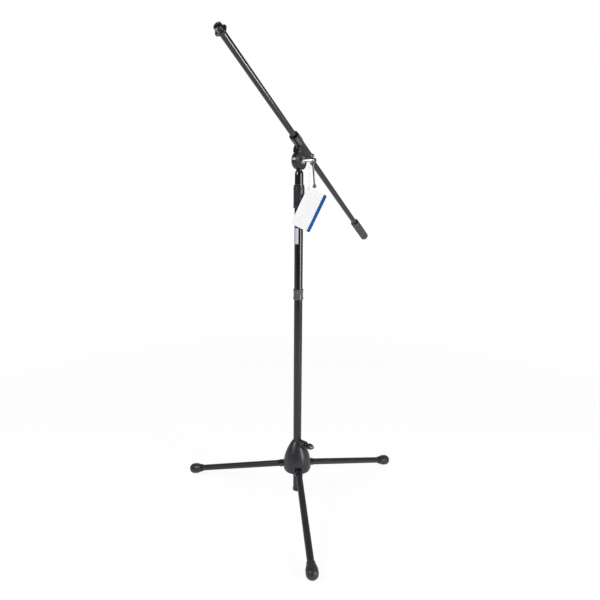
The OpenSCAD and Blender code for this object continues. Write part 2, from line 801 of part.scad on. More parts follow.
// The clamp bolt: a thread through the drum, a shoulder on the washer, and a head that holds the bar
module clamp_bolt() {
    tail = drum_reach - bolt_inset;
    shoulder_x = cheek_end + washer_t + free_gap / 3;
    color(bright_steel) at_tilt() difference() {
        along_x() {
            translate([0, 0, -tail]) cylinder(r = bolt_r, h = tail + handle_reach);
            translate([0, 0, shoulder_x]) cylinder(r = shoulder_r, h = shoulder_t);
            translate([0, 0, handle_reach - head_len / 2]) rotate_extrude() polygon([
                [0, 0], [head_r - head_edge, 0], [head_r, head_edge], [head_r, head_len - head_edge],
                [head_r - head_edge, head_len], [0, head_len]
            ]);
        }
        translate([handle_reach, 0, 0]) rotate([-handle_turn, 0, 0])
            cylinder(r = bar_r + run_gap, h = 4 * head_r, center = true);
    }
}

// The bar that slides through the bolt's head, with a ball at each end; it hangs on its upper ball
module clamp_handle() {
    color(bright_steel) at_tilt() translate([handle_reach, 0, 0]) rotate([-handle_turn, 0, 0]) {
        translate([0, 0, handle_stop - handle_len]) cylinder(r = bar_r, h = handle_len);
        for (end = [0, handle_len]) translate([0, 0, handle_stop - end]) sphere(r = bar_ball_r);
    }
}

// The liner that the boom slides in, with a flange at the sleeve's mouth
module boom_liner() {
    color(black_plastic) at_boom() {
        tube(liner_r, liner_bore_r, -sleeve_front - free_gap / 3, sleeve_front + sleeve_rear);
        tube(sleeve_r, liner_bore_r, -sleeve_front - free_gap / 3 - liner_flange_t, liner_flange_t);
    }
}

module boom_tube() {
    color(black_tube) at_boom() tube(boom_r, boom_bore_r, -boom_front, boom_front + boom_rear);
}

// The stud: a plug in the tube's end, a seat for the lock ring, a relief groove, and a hollow free end
module tip_stud() {
    groove = stud_foot_h + lock_ring_h + free_gap;
    color(plain_steel) at_boom() translate([0, 0, -boom_front]) rotate([180, 0, 0]) difference() {
        rotate_extrude() polygon([
            [0, -stud_plug_len],
            [boom_bore_r - press_gap, -stud_plug_len],
            [boom_bore_r - press_gap, 0],
            [stud_r, 0],
            [stud_r, groove],
            [stud_r - groove_depth, groove],
            [stud_r - groove_depth, groove + groove_w],
            [stud_r, groove + groove_w],
            [stud_r, stud_len - stud_edge],
            [stud_r - stud_edge, stud_len],
            [0, stud_len]
        ]);
        translate([0, 0, stud_len - stud_bore_len]) cylinder(r = stud_bore_r, h = stud_bore_len + cut);
    }
}

// The lock ring, with two ears for the fingers
module tip_lock_ring() {
    color(black_plastic) at_boom() translate([0, 0, -boom_front - stud_foot_h - lock_ring_h])
        rotate([0, 0, lock_ring_turn]) linear_extrude(height = lock_ring_h) difference() {
            union() {
                circle(r = lock_ring_r);
                intersection() {
                    circle(r = lock_ring_r + ear_reach);
                    square([4 * lock_ring_r, ear_w], center = true);
                }
            }
            circle(r = lock_ring_bore_r);
        }
}

module counterweight() {
    color(plain_steel) at_boom() tube(weight_r, weight_bore_r, boom_rear - weight_len, weight_len);
}

// The cover over the counterweight: a lip round the boom in front, and a round closed end
module counterweight_cover() {
    front = boom_rear - weight_len - cover_lip;
    end = boom_rear + cover_end;
    color(grey_cover) at_boom() difference() {
        rotate_extrude() polygon(concat(
            [[0, front], [cover_r - cover_edge, front], [cover_r, front + cover_edge]],
            arc(cover_r - cover_round, end - cover_round, cover_round, cover_round, 0, 90),
            [[0, end]]
        ));
        translate([0, 0, boom_rear - weight_len]) cylinder(r = cover_bore_r, h = weight_len);
        translate([0, 0, front - cut]) cylinder(r = boom_r + press_gap, h = boom_rear - front + cut);
    }
}

// The frame of the card: X to its right, Y up it, Z towards the front
module at_card() {
    translate([tag_x, tag_y, pivot_z - tag_drop])
        rotate([90, 0, 0])
            rotate([0, 0, -tag_tilt])
                children();
}

module tag_card() {
    color(paper) at_card() linear_extrude(height = tag_t, center = true) difference() {
        union() {
            square([tag_w - 2 * tag_corner, tag_len], center = true);
            square([tag_w, tag_len - 2 * tag_corner], center = true);
            for (sx = [-1, 1], sy = [-1, 1])
                translate([sx * (tag_w / 2 - tag_corner), sy * (tag_len / 2 - tag_corner)])
                    circle(r = tag_corner);
        }
        translate([-hole_left, hole_up]) circle(r = hole_r);
    }
}

module tag_eyelet() {
    color(plain_steel) at_card() translate([-hole_left, hole_up, 0]) difference() {
        union() {
            cylinder(r = hole_r - press_gap, h = tag_t + 2 * press_gap, center = true);
            for (s = [-1, 1])
                translate([0, 0, s * (tag_t / 2 + press_gap + (eyelet_t - tag_t) / 4)])
                    cylinder(r = eyelet_r, h = (eyelet_t - tag_t) / 2, center = true);
        }
        cylinder(r = eyelet_bore_r, h = eyelet_t + 2 * cut, center = true);
    }
}

// The loop: over the bolt, down on both sides of it, and through the card's eyelet
module tag_loop() {
    axis = [cos(boom_turn), -sin(boom_turn), 0];
    rear = [sin(boom_turn), cos(boom_turn), 0];
    top = [0, 0, pivot_z] + loop_side * axis;
    hole = [tag_x, tag_y, pivot_z - loop_drop];
    color(nylon) {
        at_pivot() translate([loop_side, 0, 0]) rotate([90, 0, 90])
            rotate_extrude(angle = 180) translate([loop_turn_r, 0]) circle(r = loop_r);
        for (s = [-1, 1]) {
            shoulder = top + s * loop_turn_r * rear;
            eye = hole + [0, s * loop_spread, 0];
            rod(shoulder, eye, loop_r);
            rod(eye, hole, loop_r);
        }
    }
}

hub_housing();
hub_clamp_nut();
leg_pins();
hub_thumbscrew();
thumbscrew_paddle();
leg_tube_front();
leg_tube_left();
leg_tube_right();
leg_knuckle_front();
leg_knuckle_left();
leg_knuckle_right();
foot_front();
foot_left();
foot_right();
mast_lower_tube();
mast_end_cap();
mast_coupling();
mast_upper_tube();
clutch_body();
clutch_grip();
clutch_collet();
riser_tube();
riser_guide_plug();
mast_head();
clamp_nut();
tilt_friction_disc();
boom_holder();
clamp_washer();
clamp_bolt();
clamp_handle();
boom_liner();
boom_tube();
tip_stud();
tip_lock_ring();
counterweight();
counterweight_cover();
tag_card();
tag_eyelet();
tag_loop();
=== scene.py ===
"""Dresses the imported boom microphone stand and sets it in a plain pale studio."""

import logging
from dataclasses import dataclass
from enum import Enum
from math import atan2, cos, hypot, pi, radians, sin
from typing import Dict, Sequence, Tuple, Union

import bmesh
import bpy
import numpy as np
from mathutils import Matrix, Vector

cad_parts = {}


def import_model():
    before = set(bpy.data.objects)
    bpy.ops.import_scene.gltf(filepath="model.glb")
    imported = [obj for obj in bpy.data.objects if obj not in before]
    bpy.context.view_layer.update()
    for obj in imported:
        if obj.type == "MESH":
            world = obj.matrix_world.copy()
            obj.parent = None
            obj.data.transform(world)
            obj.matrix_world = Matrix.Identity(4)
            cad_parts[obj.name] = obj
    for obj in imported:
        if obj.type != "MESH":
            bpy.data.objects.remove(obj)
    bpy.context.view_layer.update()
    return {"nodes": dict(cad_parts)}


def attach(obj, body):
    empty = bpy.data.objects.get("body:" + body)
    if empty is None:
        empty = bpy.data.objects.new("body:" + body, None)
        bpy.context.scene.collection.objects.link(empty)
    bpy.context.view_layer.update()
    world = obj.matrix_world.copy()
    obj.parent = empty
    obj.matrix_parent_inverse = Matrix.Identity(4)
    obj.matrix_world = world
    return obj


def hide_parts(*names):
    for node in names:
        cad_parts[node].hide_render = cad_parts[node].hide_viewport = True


Array = np.ndarray
Piece = bpy.types.Object
Socket = bpy.types.NodeSocket
Triple = Tuple[float, float, float]
Feed = Union[Socket, float, Triple]

LOG = logging.getLogger("stand")
MM = 0.001
TINY = 1e-6  # millimetres that count as none
UP = np.array([0.0, 0.0, 1.0])
GROOVE = "groove"
PATCHES = (0.3, 0.7)  # the slow noise's usual range
COLOUR_SWAY = 0.6  # the part of a finish's spread that its colour takes


def smooth_min(first: Array, second: Array, blend: float) -> Array:
    """Returns the lower height, rounded: half of the sum less the root of gap squared plus blend squared."""
    gap = first - second
    return 0.5 * (first + second - np.sqrt(gap * gap + blend * blend))


def eased(value: Array) -> Array:
    """Returns values held between 0 and 1 and eased: three times the square less twice the cube."""
    share = np.clip(value, 0.0, 1.0)
    return share * share * (3.0 - 2.0 * share)


def squared_off(wave: Array, power: float) -> Array:
    """Returns a wave with its size raised to a power below 1 and its sign kept."""
    return np.sign(wave) * np.abs(wave) ** power


def full_turn(steps: int) -> Array:
    """Returns that many even angles of a full turn, in radians, without its end."""
    return np.linspace(0.0, 2.0 * pi, steps, endpoint=False)


def from_middles(steps: int, count: int, start: float) -> Array:
    """Returns how far the angles of a full turn, plus a start, lie from the nearest of count middles."""
    share = 2.0 * pi / count
    return (full_turn(steps) + start) % share - share / 2


def even_rows(radii: Sequence[float], cols: int) -> Array:
    """Returns rows of that many columns that each keep one radius all round."""
    return np.repeat(np.asarray(radii, dtype=float)[:, None], cols, axis=1)


@dataclass(frozen=True)
class Axis:
    """A straight axis with its own frame, in metres."""

    origin: Array
    along: Array
    side: Array
    up: Array

    def place(self, x: Array, y: Array, z: Array) -> Array:
        """Returns points in metres: the origin plus millimetres along side, up and the axis."""
        x, y, z = (part[..., None] * MM for part in np.broadcast_arrays(x, y, z))
        return self.origin + x * self.side + y * self.up + z * self.along

    def carry_round(self, radius: Array, along: Array) -> Array:
        """Returns rows of points: radius times cosine and sine of the turn, and the distance along."""
        turn = full_turn(radius.shape[1])
        return self.place(radius * np.cos(turn), radius * np.sin(turn), along[:, None])

    def lathe(self, profile: Array, cols: int) -> Array:
        """Returns the grid of a profile, in rows of radius and distance, carried round the axis."""
        return self.carry_round(even_rows(profile[:, 0], cols), profile[:, 1])


UPRIGHT = Axis(np.zeros(3), *np.eye(3)[[2, 0, 1]])  # the mast's axis, from the floor up


@dataclass(frozen=True)
class Layout:
    """The stand's main places, as the solids have them."""

    pivot_z: float = 836.0 * MM
    boom_turn: float = radians(28.5)
    boom_incline: float = radians(30.0)
    boom_side: float = 2.5 * MM
    boom_rise: float = 28.8 * MM

    @property
    def pivot(self) -> Array:
        """The middle of the pivot."""
        return self.pivot_z * UP

    @property
    def across(self) -> Array:
        """The pivot's axis, to the right."""
        return np.array([cos(self.boom_turn), -sin(self.boom_turn), 0.0])

    @property
    def rear(self) -> Array:
        """The level direction of the boom's rear."""
        return np.array([sin(self.boom_turn), cos(self.boom_turn), 0.0])

    @property
    def boom_along(self) -> Array:
        """The boom's direction, to the rear and down."""
        return self.rear * cos(self.boom_incline) - UP * sin(self.boom_incline)

    @property
    def boom_up(self) -> Array:
        """Square to the boom and the pivot's axis, upward."""
        return self.rear * sin(self.boom_incline) + UP * cos(self.boom_incline)

    @property
    def boom_axis(self) -> Axis:
        """The boom tube's axis, from abreast of the pivot to the rear."""
        origin = self.pivot + self.boom_side * self.across + self.boom_rise * self.boom_up
        return Axis(origin, self.boom_along, self.across, -self.boom_up)

    @property
    def bolt_axis(self) -> Axis:
        """The clamp bolt's axis, from the mast axis to the right."""
        return Axis(self.pivot, self.across, self.boom_along, self.boom_up)

    def tip_axis(self, front: float) -> Axis:
        """Returns the axis forward from the boom tube's front end, millimetres ahead of the pivot."""
        boom = self.boom_axis
        return Axis(boom.origin - front * MM * boom.along, -boom.along, boom.side, -boom.up)


class Ends(Enum):
    """How the rows of a skin end."""

    CAPPED = "capped"
    JOINED = "joined"


def skin_arrays(points: Array, ends: Ends) -> Tuple[Array, Array, Array]:
    """Turns a grid of points into faces. The columns always join round.

    Args:
        points: rows by columns by three.
        ends: whether the last row joins the first, or both end rows get a cap.

    Returns:
        Points, quads and triangles. A cap is a fan round the mean of its row.
    """
    rows, cols = points.shape[:2]
    index = np.arange(rows * cols).reshape(rows, cols)
    verts = points.reshape(-1, 3)
    low = index if ends is Ends.JOINED else index[:-1]
    high = np.roll(index, -1, axis=0) if ends is Ends.JOINED else index[1:]
    quads = np.stack([low, np.roll(low, -1, axis=1), np.roll(high, -1, axis=1), high], axis=-1).reshape(-1, 4)
    tris = np.zeros((0, 3), dtype=int)
    if ends is Ends.CAPPED:
        centres = np.stack([points[0].mean(axis=0), points[-1].mean(axis=0)])
        first, last = len(verts), len(verts) + 1
        verts = np.concatenate([verts, centres])
        bottom = np.stack([np.roll(index[0], -1), index[0], np.full(cols, first)], axis=-1)
        top = np.stack([index[-1], np.roll(index[-1], -1), np.full(cols, last)], axis=-1)
        tris = np.concatenate([bottom, top])
    return verts, quads, tris


def skin(name: str, *grids: Array, ends: Ends = Ends.CAPPED) -> Piece:
    """Makes one piece from grids of points, each of which becomes a closed skin.

    Args:
        name: the piece's name.
        grids: rows by columns by three.
        ends: how the rows end.

    Returns:
        The piece, smooth, at the origin, in the scene, with its faces turned outward.
    """
    parts = [skin_arrays(grid, ends) for grid in grids]
    verts = np.concatenate([part[0] for part in parts])
    firsts = np.cumsum([0] + [len(part[0]) for part in parts])
    quads, tris = (np.concatenate([part[k] + first for part, first in zip(parts, firsts)]) for k in (1, 2))
    mesh = bpy.data.meshes.new(name)
    corners = np.concatenate([quads.ravel(), tris.ravel()]).astype(np.int32)
    sizes = np.concatenate([np.full(len(quads), 4), np.full(len(tris), 3)]).astype(np.int32)
    starts = np.concatenate([[0], np.cumsum(sizes)[:-1]]).astype(np.int32)
    mesh.vertices.add(len(verts))
    mesh.vertices.foreach_set("co", verts.astype(np.float32).ravel())
    mesh.loops.add(len(corners))
    mesh.loops.foreach_set("vertex_index", corners)
    mesh.polygons.add(len(sizes))
    mesh.polygons.foreach_set("loop_start", starts)
    mesh.polygons.foreach_set("loop_total", sizes)
    mesh.update(calc_edges=True)
    mesh.validate()
    work = bmesh.new()
    work.from_mesh(mesh)
    bmesh.ops.recalc_face_normals(work, faces=work.faces)
    work.to_mesh(mesh)
    work.free()
    mesh.polygons.foreach_set("use_smooth", np.ones(len(mesh.polygons), dtype=bool))
    piece = bpy.data.objects.new(name, mesh)
    bpy.context.scene.collection.objects.link(piece)
    return piece


def grooved(piece: Piece, low: Array) -> Piece:
    """Gives a piece the groove values that a grooved finish reads to paint shade into the grooves.

    Args:
        piece: a skinned piece.
        low: groove values from 0 to 1 for the first rows of its grid; the rest get 0.

    Returns:
        The same piece.
    """
    value = np.zeros(len(piece.data.vertices), dtype=np.float32)
    value[:low.size] = low.ravel()
    piece.data.attributes.new(GROOVE, "FLOAT", "POINT").data.foreach_set("value", value)
    return piece


def rounded_profile(corners: Sequence[Triple], steps: int = 6) -> Array:
    """A profile with its corners rounded, in millimetres.

    Args:
        corners: radius, distance along and rounding of each corner.
        steps: points on each rounding.

    Returns:
        Rows of radius and distance. Each rounding is a quadratic curve that starts and ends its own length
        before and after the corner.
    """
    data = np.asarray(corners, dtype=float)
    place, size = data[:, :2], data[:, 2]
    before = np.roll(place, 1, axis=0) - place
    after = np.roll(place, -1, axis=0) - place
    before[0], after[-1] = 0.0, 0.0
    before /= np.maximum(np.linalg.norm(before, axis=1, keepdims=True), TINY)
    after /= np.maximum(np.linalg.norm(after, axis=1, keepdims=True), TINY)
    share = np.linspace(0.0, 1.0, steps)[None, :, None]
    start = (place + before * size[:, None])[:, None, :]
    end = (place + after * size[:, None])[:, None, :]
    curve = (1 - share) ** 2 * start + 2 * share * (1 - share) * place[:, None, :] + share ** 2 * end
    flat = curve.reshape(-1, 2)
    return flat[np.concatenate([[True], np.linalg.norm(np.diff(flat, axis=0), axis=1) > TINY])]


def tube_along(name: str, path: Array, radius: float, cols: int = 16) -> Piece:
    """Carries a circle along a closed path.

    Args:
        name: the piece's name.
        path: points of the path, whose last joins the first, in metres.
        radius: of the circle, in metres.
        cols: points on the circle.

    Returns:
        The piece. Each ring stands square to the path, turned so that it keeps to one fixed direction.
    """
    ahead = np.roll(path, -1, axis=0) - np.roll(path, 1, axis=0)
    ahead /= np.linalg.norm(ahead, axis=1, keepdims=True)
    fixed = np.array([0.83, 0.31, 0.46])
    first = np.cross(ahead, fixed)
    first /= np.linalg.norm(first, axis=1, keepdims=True)
    second = np.cross(ahead, first)
    turn = full_turn(cols)[None, :, None]
    ring = np.cos(turn) * first[:, None, :] + np.sin(turn) * second[:, None, :]
    return skin(name, path[:, None, :] + radius * ring, ends=Ends.JOINED)


class NodeTree:
    """The nodes of a material or a world, with the few kinds that are used here."""

    def __init__(self, owner: bpy.types.ID) -> None:
        """Takes up the owner's nodes.

        Args:
            owner: a new material or world.
        """
        owner.use_nodes = True
        self.owner = owner
        self.nodes, self.links = owner.node_tree.nodes, owner.node_tree.links

    def feed(self, value: Feed, socket: Socket) -> None:
        """Links an input to a socket, or sets it.

        Args:
            value: a socket, a number or three numbers.
            socket: the input.
        """
        if isinstance(value, Socket):
            self.links.new(value, socket)
        else:
            socket.default_value = (*value, 1.0) if socket.type == "RGBA" else value

    def add(self, kind: str, inputs: Dict[Union[str, int], Feed], **settings: str) -> bpy.types.Node:
        """Adds a node.

        Args:
            kind: the node's type, without the usual first part.
            inputs: what feeds each input.
            settings: the node's own settings.

        Returns:
            The node.
        """
        node = self.nodes.new(f"ShaderNode{kind}")
        for name, value in settings.items():
            setattr(node, name, value)
        for key, value in inputs.items():
            self.feed(value, node.inputs[key])
        return node

    def place(self, stretch: Triple = (1.0, 1.0, 1.0)) -> Socket:
        """Returns Object coordinates in metres, scaled on each axis."""
        source = self.add("TexCoord", {}).outputs["Object"]
        return self.add("Mapping", {"Vector": source, "Scale": stretch}).outputs["Vector"]

    def noise(self, where: Socket, scale: float, detail: float) -> Socket:
        """Returns a noise of that many lumps a metre."""
        return self.add("TexNoise", {"Vector": where, "Scale": scale, "Detail": detail}).outputs["Fac"]

    def cells(self, where: Socket, scale: float) -> Socket:
        """Returns the distance to the nearest of that many points a metre."""
        return self.add("TexVoronoi", {"Vector": where, "Scale": scale}).outputs["Distance"]

    def span(self, value: Socket, low: float, high: float, to_low: Feed = 0.0, to_high: Feed = 1.0) -> Socket:
        """Returns the value carried from one range to another, held at its ends."""
        return self.add("MapRange", {"Value": value, "From Min": low, "From Max": high, "To Min": to_low,
                                     "To Max": to_high}).outputs["Result"]

    def mix(self, share: Socket, first: Feed, second: Feed) -> Socket:
        """Mixes two colours.

        Args:
            share: how much of the second shows.
            first: a colour or its socket.
            second: the other.

        Returns:
            The colour's socket.
        """
        node = self.add("Mix", {"Factor": share}, data_type="RGBA")
        for socket, value in zip([s for s in node.inputs if s.type == "RGBA"], (first, second)):
            self.feed(value, socket)
        return next(s for s in node.outputs if s.type == "RGBA")

    def combine(self, operation: str, first: Socket, second: Feed) -> Socket:
        """Returns the result of the named sum on two values."""
        return self.add("Math", {0: first, 1: second}, operation=operation).outputs[0]

    def dot(self, where: Socket, direction: Sequence[float]) -> Socket:
        """Returns how far a point lies along a direction of length 1."""
        direction = tuple(float(part) for part in direction)
        return self.add("VectorMath", {0: where, 1: direction}, operation="DOT_PRODUCT").outputs["Value"]

    def past(self, direction: Sequence[float], start: float) -> Socket:
        """Returns how many metres a point lies past a start along a direction of length 1."""
        return self.combine("SUBTRACT", self.dot(self.place(), direction), float(start))

    def seen(self, mirrored: float) -> Socket:
        """Tells rays that reach the eye from those that only light.

        Args:
            mirrored: the share for glossy and transmission rays.

        Returns:
            A share: 1 for camera rays, and 0 for rays that are none of these.
        """
        ray = self.add("LightPath", {}).outputs
        bounced = self.combine("MAXIMUM", ray["Is Glossy Ray"], ray["Is Transmission Ray"])
        return self.combine("MAXIMUM", self.combine("MULTIPLY", bounced, mirrored), ray["Is Camera Ray"])


class Grain(Enum):
    """The fine surface of a finish: its scale on each axis, and the detail of its noise."""

    PEEL = ((1.0, 1.0, 1.0), 1.0)
    SCUFF = ((1.0, 1.0, 0.04), 2.0)
    TURNED = ((0.05, 0.05, 1.0), 1.0)
    PEBBLE = ((1.0, 1.0, 1.0), 0.0)


@dataclass(frozen=True)
class Finish:
    """A finish with a mottled colour, an uneven gloss and a fine surface.

    The grain's size and depth and the patches' size are in millimetres. Spread is the share by which the
    roughness varies over the patches, and the colour by a part of it.
    """

    name: str
    colour: Triple
    roughness: float
    grain: Grain
    grain_size: float
    grain_depth: float
    patch_size: float
    spread: float
    specular: float
    metallic: float = 0.0

    def dress(self, piece: Piece) -> None:
        """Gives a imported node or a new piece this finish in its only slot."""
        piece.data.materials.clear()
        piece.data.materials.append(bpy.data.materials.get(self.name) or self._make())

    def _make(self) -> bpy.types.Material:
        """Builds the material on Object coordinates.

        Returns:
            The new material.
        """
        tree = NodeTree(bpy.data.materials.new(self.name))
        patches = tree.noise(tree.place(), 1.0 / MM / self.patch_size, 3.0)
        bump = {"Height": self.relief(tree), "Distance": self.grain_depth * MM, "Strength": 1.0}
        looks = {
            "Base Color": self.paint(tree, patches),
            "Roughness": tree.span(patches, *PATCHES, self.roughness * (1 - self.spread),
                                   self.roughness * (1 + self.spread)),
            "Metallic": self.metallic,
            "Specular IOR Level": self.shine(tree),
            "Normal": tree.add("Bump", bump).outputs["Normal"],
        }
        for name, value in looks.items():
            tree.feed(value, tree.nodes["Principled BSDF"].inputs[name])
        return tree.owner

    def paint(self, tree: NodeTree, patches: Socket) -> Socket:
        """The colour, a little darker and lighter by patches.

        Args:
            tree: the node tree.
            patches: a slow noise.

        Returns:
            The colour's socket.
        """
        sway = COLOUR_SWAY * self.spread
        dark, light = (tuple(min(1.0, c * by) for c in self.colour) for by in (1 - sway, 1 + sway))
        return tree.mix(tree.span(patches, *PATCHES), dark, light)

    def shine(self, tree: NodeTree) -> Feed:
        """Returns the plain reflection's strength, as a number or as a socket of the tree."""
        return self.specular

    def relief(self, tree: NodeTree) -> Socket:
        """Makes the fine surface's height.

        Args:
            tree: the node tree.

        Returns:
            The height's socket, from 0 to about 1.
        """
        stretch, detail = self.grain.value
        where, scale = tree.place(stretch), 1.0 / MM / self.grain_size
        return tree.cells(where, scale) if self.grain is Grain.PEBBLE else tree.noise(where, scale, detail)


@dataclass(frozen=True)
class TwoTone(Finish):
    """A finish with a second colour on some of the piece, which by patches falls to its deepest share."""

    second: Triple = (0.0, 0.0, 0.0)
    deepest: float = 0.8

    def share(self, tree: NodeTree) -> Socket:
        """Returns the second colour's share: here, the groove values that the piece carries, which paint
        shade into its grooves.
        """
        return tree.add("Attribute", {}, attribute_name=GROOVE).outputs["Fac"]

    def paint(self, tree: NodeTree, patches: Socket) -> Socket:
        """The plain colour, and the second one by its share.

        Args:
            tree: the node tree.
            patches: a slow noise.

        Returns:
            The colour's socket.
        """
        deep = tuple(c * self.deepest for c in self.second)
        other = tree.mix(tree.span(patches, *PATCHES), deep, self.second)
        return tree.mix(self.share(tree), super().paint(tree, patches), other)


@dataclass(frozen=True)
class PastPlane(TwoTone):
    """A finish with its second colour past a plane. The start and the fade are in metres."""

    direction: Sequence[float] = (1.0, 0.0, 0.0)
    start: float = 0.0
    fade: float = 0.0

    def share(self, tree: NodeTree) -> Socket:
        """Returns the second colour's share: from 0 at the plane to 1 past the fade."""
        return tree.span(tree.past(self.direction, self.start), 0.0, self.fade)


@dataclass(frozen=True)
class ShadedHoodSatin(TwoTone):
    """A grained moulding whose hood, between sleeve and drum, gets painted shade: a smooth deep black with a
    weak reflection. In metres.
    """

    across: Sequence[float] = (1.0, 0.0, 0.0)
    up: Sequence[float] = (0.0, 0.0, 1.0)
    sleeve_side: float = 0.0
    sleeve_up: float = 0.0
    sleeve_r: float = 10.7 * MM
    slant: float = 0.4
    slant_z: float = 846.0 * MM
    edge: float = 0.2 * MM
    # the reflection's strength where the hood's shade is painted
    shaded_hood_specular: float = 0.06

    def share(self, tree: NodeTree) -> Socket:
        """The share of the painted shade on the hood, outside the sleeve and left of the cheek.

        Args:
            tree: the node tree.

        Returns:
            A socket from 0 to 1. The hood ends at a line that leans right as it rises.
        """
        side, rise = tree.past(self.across, self.sleeve_side), tree.past(self.up, self.sleeve_up)
        squares = tree.combine("ADD", *(tree.combine("MULTIPLY", part, part) for part in (side, rise)))
        reach = tree.combine("POWER", squares, 0.5)
        outside = tree.span(reach, self.sleeve_r - self.edge, self.sleeve_r + self.edge)
        square = np.array(self.across) - self.slant * UP
        size = float(np.linalg.norm(square))
        past = tree.past(square / size, -self.slant * self.slant_z / size)
        return tree.combine("MULTIPLY", outside, tree.span(past, -self.edge, self.edge, 1.0, 0.0))

    def shine(self, tree: NodeTree) -> Socket:
        """Returns the plain reflection's strength, which the painted shade on the hood lowers."""
        return tree.span(self.share(tree), 0.0, 1.0, self.specular, self.shaded_hood_specular)


PEEL, SCUFF, TURNED, PEBBLE = Grain
ENAMEL = Finish("black_enamel", (0.006, 0.006, 0.007), 0.15, PEEL, 1.4, 0.004, 30.0, 0.25, 0.7)
LEG_ENAMEL = Finish("leg_enamel", (0.014, 0.014, 0.018), 0.36, PEEL, 1.2, 0.005, 24.0, 0.28, 0.6)
HUB_SATIN = Finish("hub_satin", (0.026, 0.025, 0.034), 0.30, PEBBLE, 0.5, 0.010, 14.0, 0.22, 0.5)
RING_SATIN = Finish("ring_satin", (0.085, 0.087, 0.10), 0.26, PEEL, 0.5, 0.006, 8.0, 0.25, 0.6)
GLOSS = Finish("gloss_moulding", (0.006, 0.006, 0.007), 0.13, PEEL, 1.0, 0.004, 12.0, 0.3, 0.8)
GRIP_SATIN = Finish("grip_moulding", (0.022, 0.024, 0.031), 0.22, PEBBLE, 0.35, 0.006, 8.0, 0.28, 0.6)
RUBBER = Finish("foot_rubber", (0.022, 0.022, 0.024), 0.34, PEEL, 0.6, 0.012, 10.0, 0.35, 0.6)
CHROME = Finish("bright_plate", (0.70, 0.68, 0.66), 0.10, SCUFF, 0.4, 0.002, 6.0, 0.4, 0.5, 1.0)
TUBE_PLATE = Finish("tube_plate", (0.42, 0.42, 0.43), 0.17, SCUFF, 0.5, 0.002, 14.0, 0.3, 0.5, 1.0)
NICKEL = Finish("dull_nickel", (0.20, 0.18, 0.16), 0.30, SCUFF, 0.4, 0.003, 6.0, 0.4, 0.5, 1.0)
STEEL = Finish("turned_steel", (0.50, 0.50, 0.52), 0.3, TURNED, 0.25, 0.006, 8.0, 0.3, 0.5, 1.0)
DARK_STEEL = Finish("blacked_steel", (0.12, 0.12, 0.13), 0.3, TURNED, 0.25, 0.006, 5.0, 0.3, 0.5, 1.0)
NYLON = Finish("natural_nylon", (0.72, 0.72, 0.70), 0.4, PEEL, 0.5, 0.006, 6.0, 0.1, 0.5)
CLEAR_TIE = Finish("pale_tie", (0.88, 0.88, 0.88), 0.3, PEEL, 0.5, 0.004, 6.0, 0.05, 0.5)
FIBRE = Finish("pressed_fibre", (0.16, 0.11, 0.07), 0.8, PEBBLE, 0.3, 0.02, 3.0, 0.4, 0.3)
PAPER = Finish("blank_label", (0.62, 0.60, 0.74), 0.45, PEEL, 0.3, 0.004, 9.0, 0.06, 0.4)
# The cover's grooves get a darker second colour: painted shade in the recesses.
COVER = TwoTone("cross_cover", (0.078, 0.078, 0.084), 0.42, PEBBLE, 0.6, 0.02, 16.0, 0.3, 0.5,
                second=(0.0234, 0.0234, 0.0252))
# The collar's pads are light where their sheen is painted, and the gaps between them are dark with painted
# shade.
COLLAR_SHEEN_SHADE = TwoTone("collar_moulding", (0.10, 0.10, 0.112), 0.22, PEBBLE, 0.35, 0.006, 8.0, 0.28, 0.6,
                 second=(0.005, 0.005, 0.0056))


@dataclass
class SubAssembly:
    """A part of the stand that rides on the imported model's bodies. Sizes in millimetres.

    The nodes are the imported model's objects by name.
    """

    nodes: Dict[str, Piece]
    layout: Layout

    def dress_nodes(self, finish: Finish, *names: str) -> None:
        """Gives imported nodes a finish.

        Args:
            finish: their finish.
            names: the nodes.
        """
        for name in names:
            finish.dress(self.nodes[name])
            LOG.info("dressed %s as %s", name, finish.name)

    def fit(self, piece: Piece, finish: Finish, body: str, stands_for: Sequence[str] = ()) -> None:
        """Dresses a new piece and joins it to a body.

        Args:
            piece: the new piece.
            finish: its finish.
            body: the body that it rides on.
            stands_for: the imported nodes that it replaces.
        """
        finish.dress(piece)
        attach(piece, body)
        if stands_for:
            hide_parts(*stands_for)
        LOG.info("built %s on %s with %d faces", piece.name, body, len(piece.data.polygons))

    def build(self) -> None:
        """Makes the new pieces."""

    def dress(self) -> None:
        """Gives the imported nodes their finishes."""


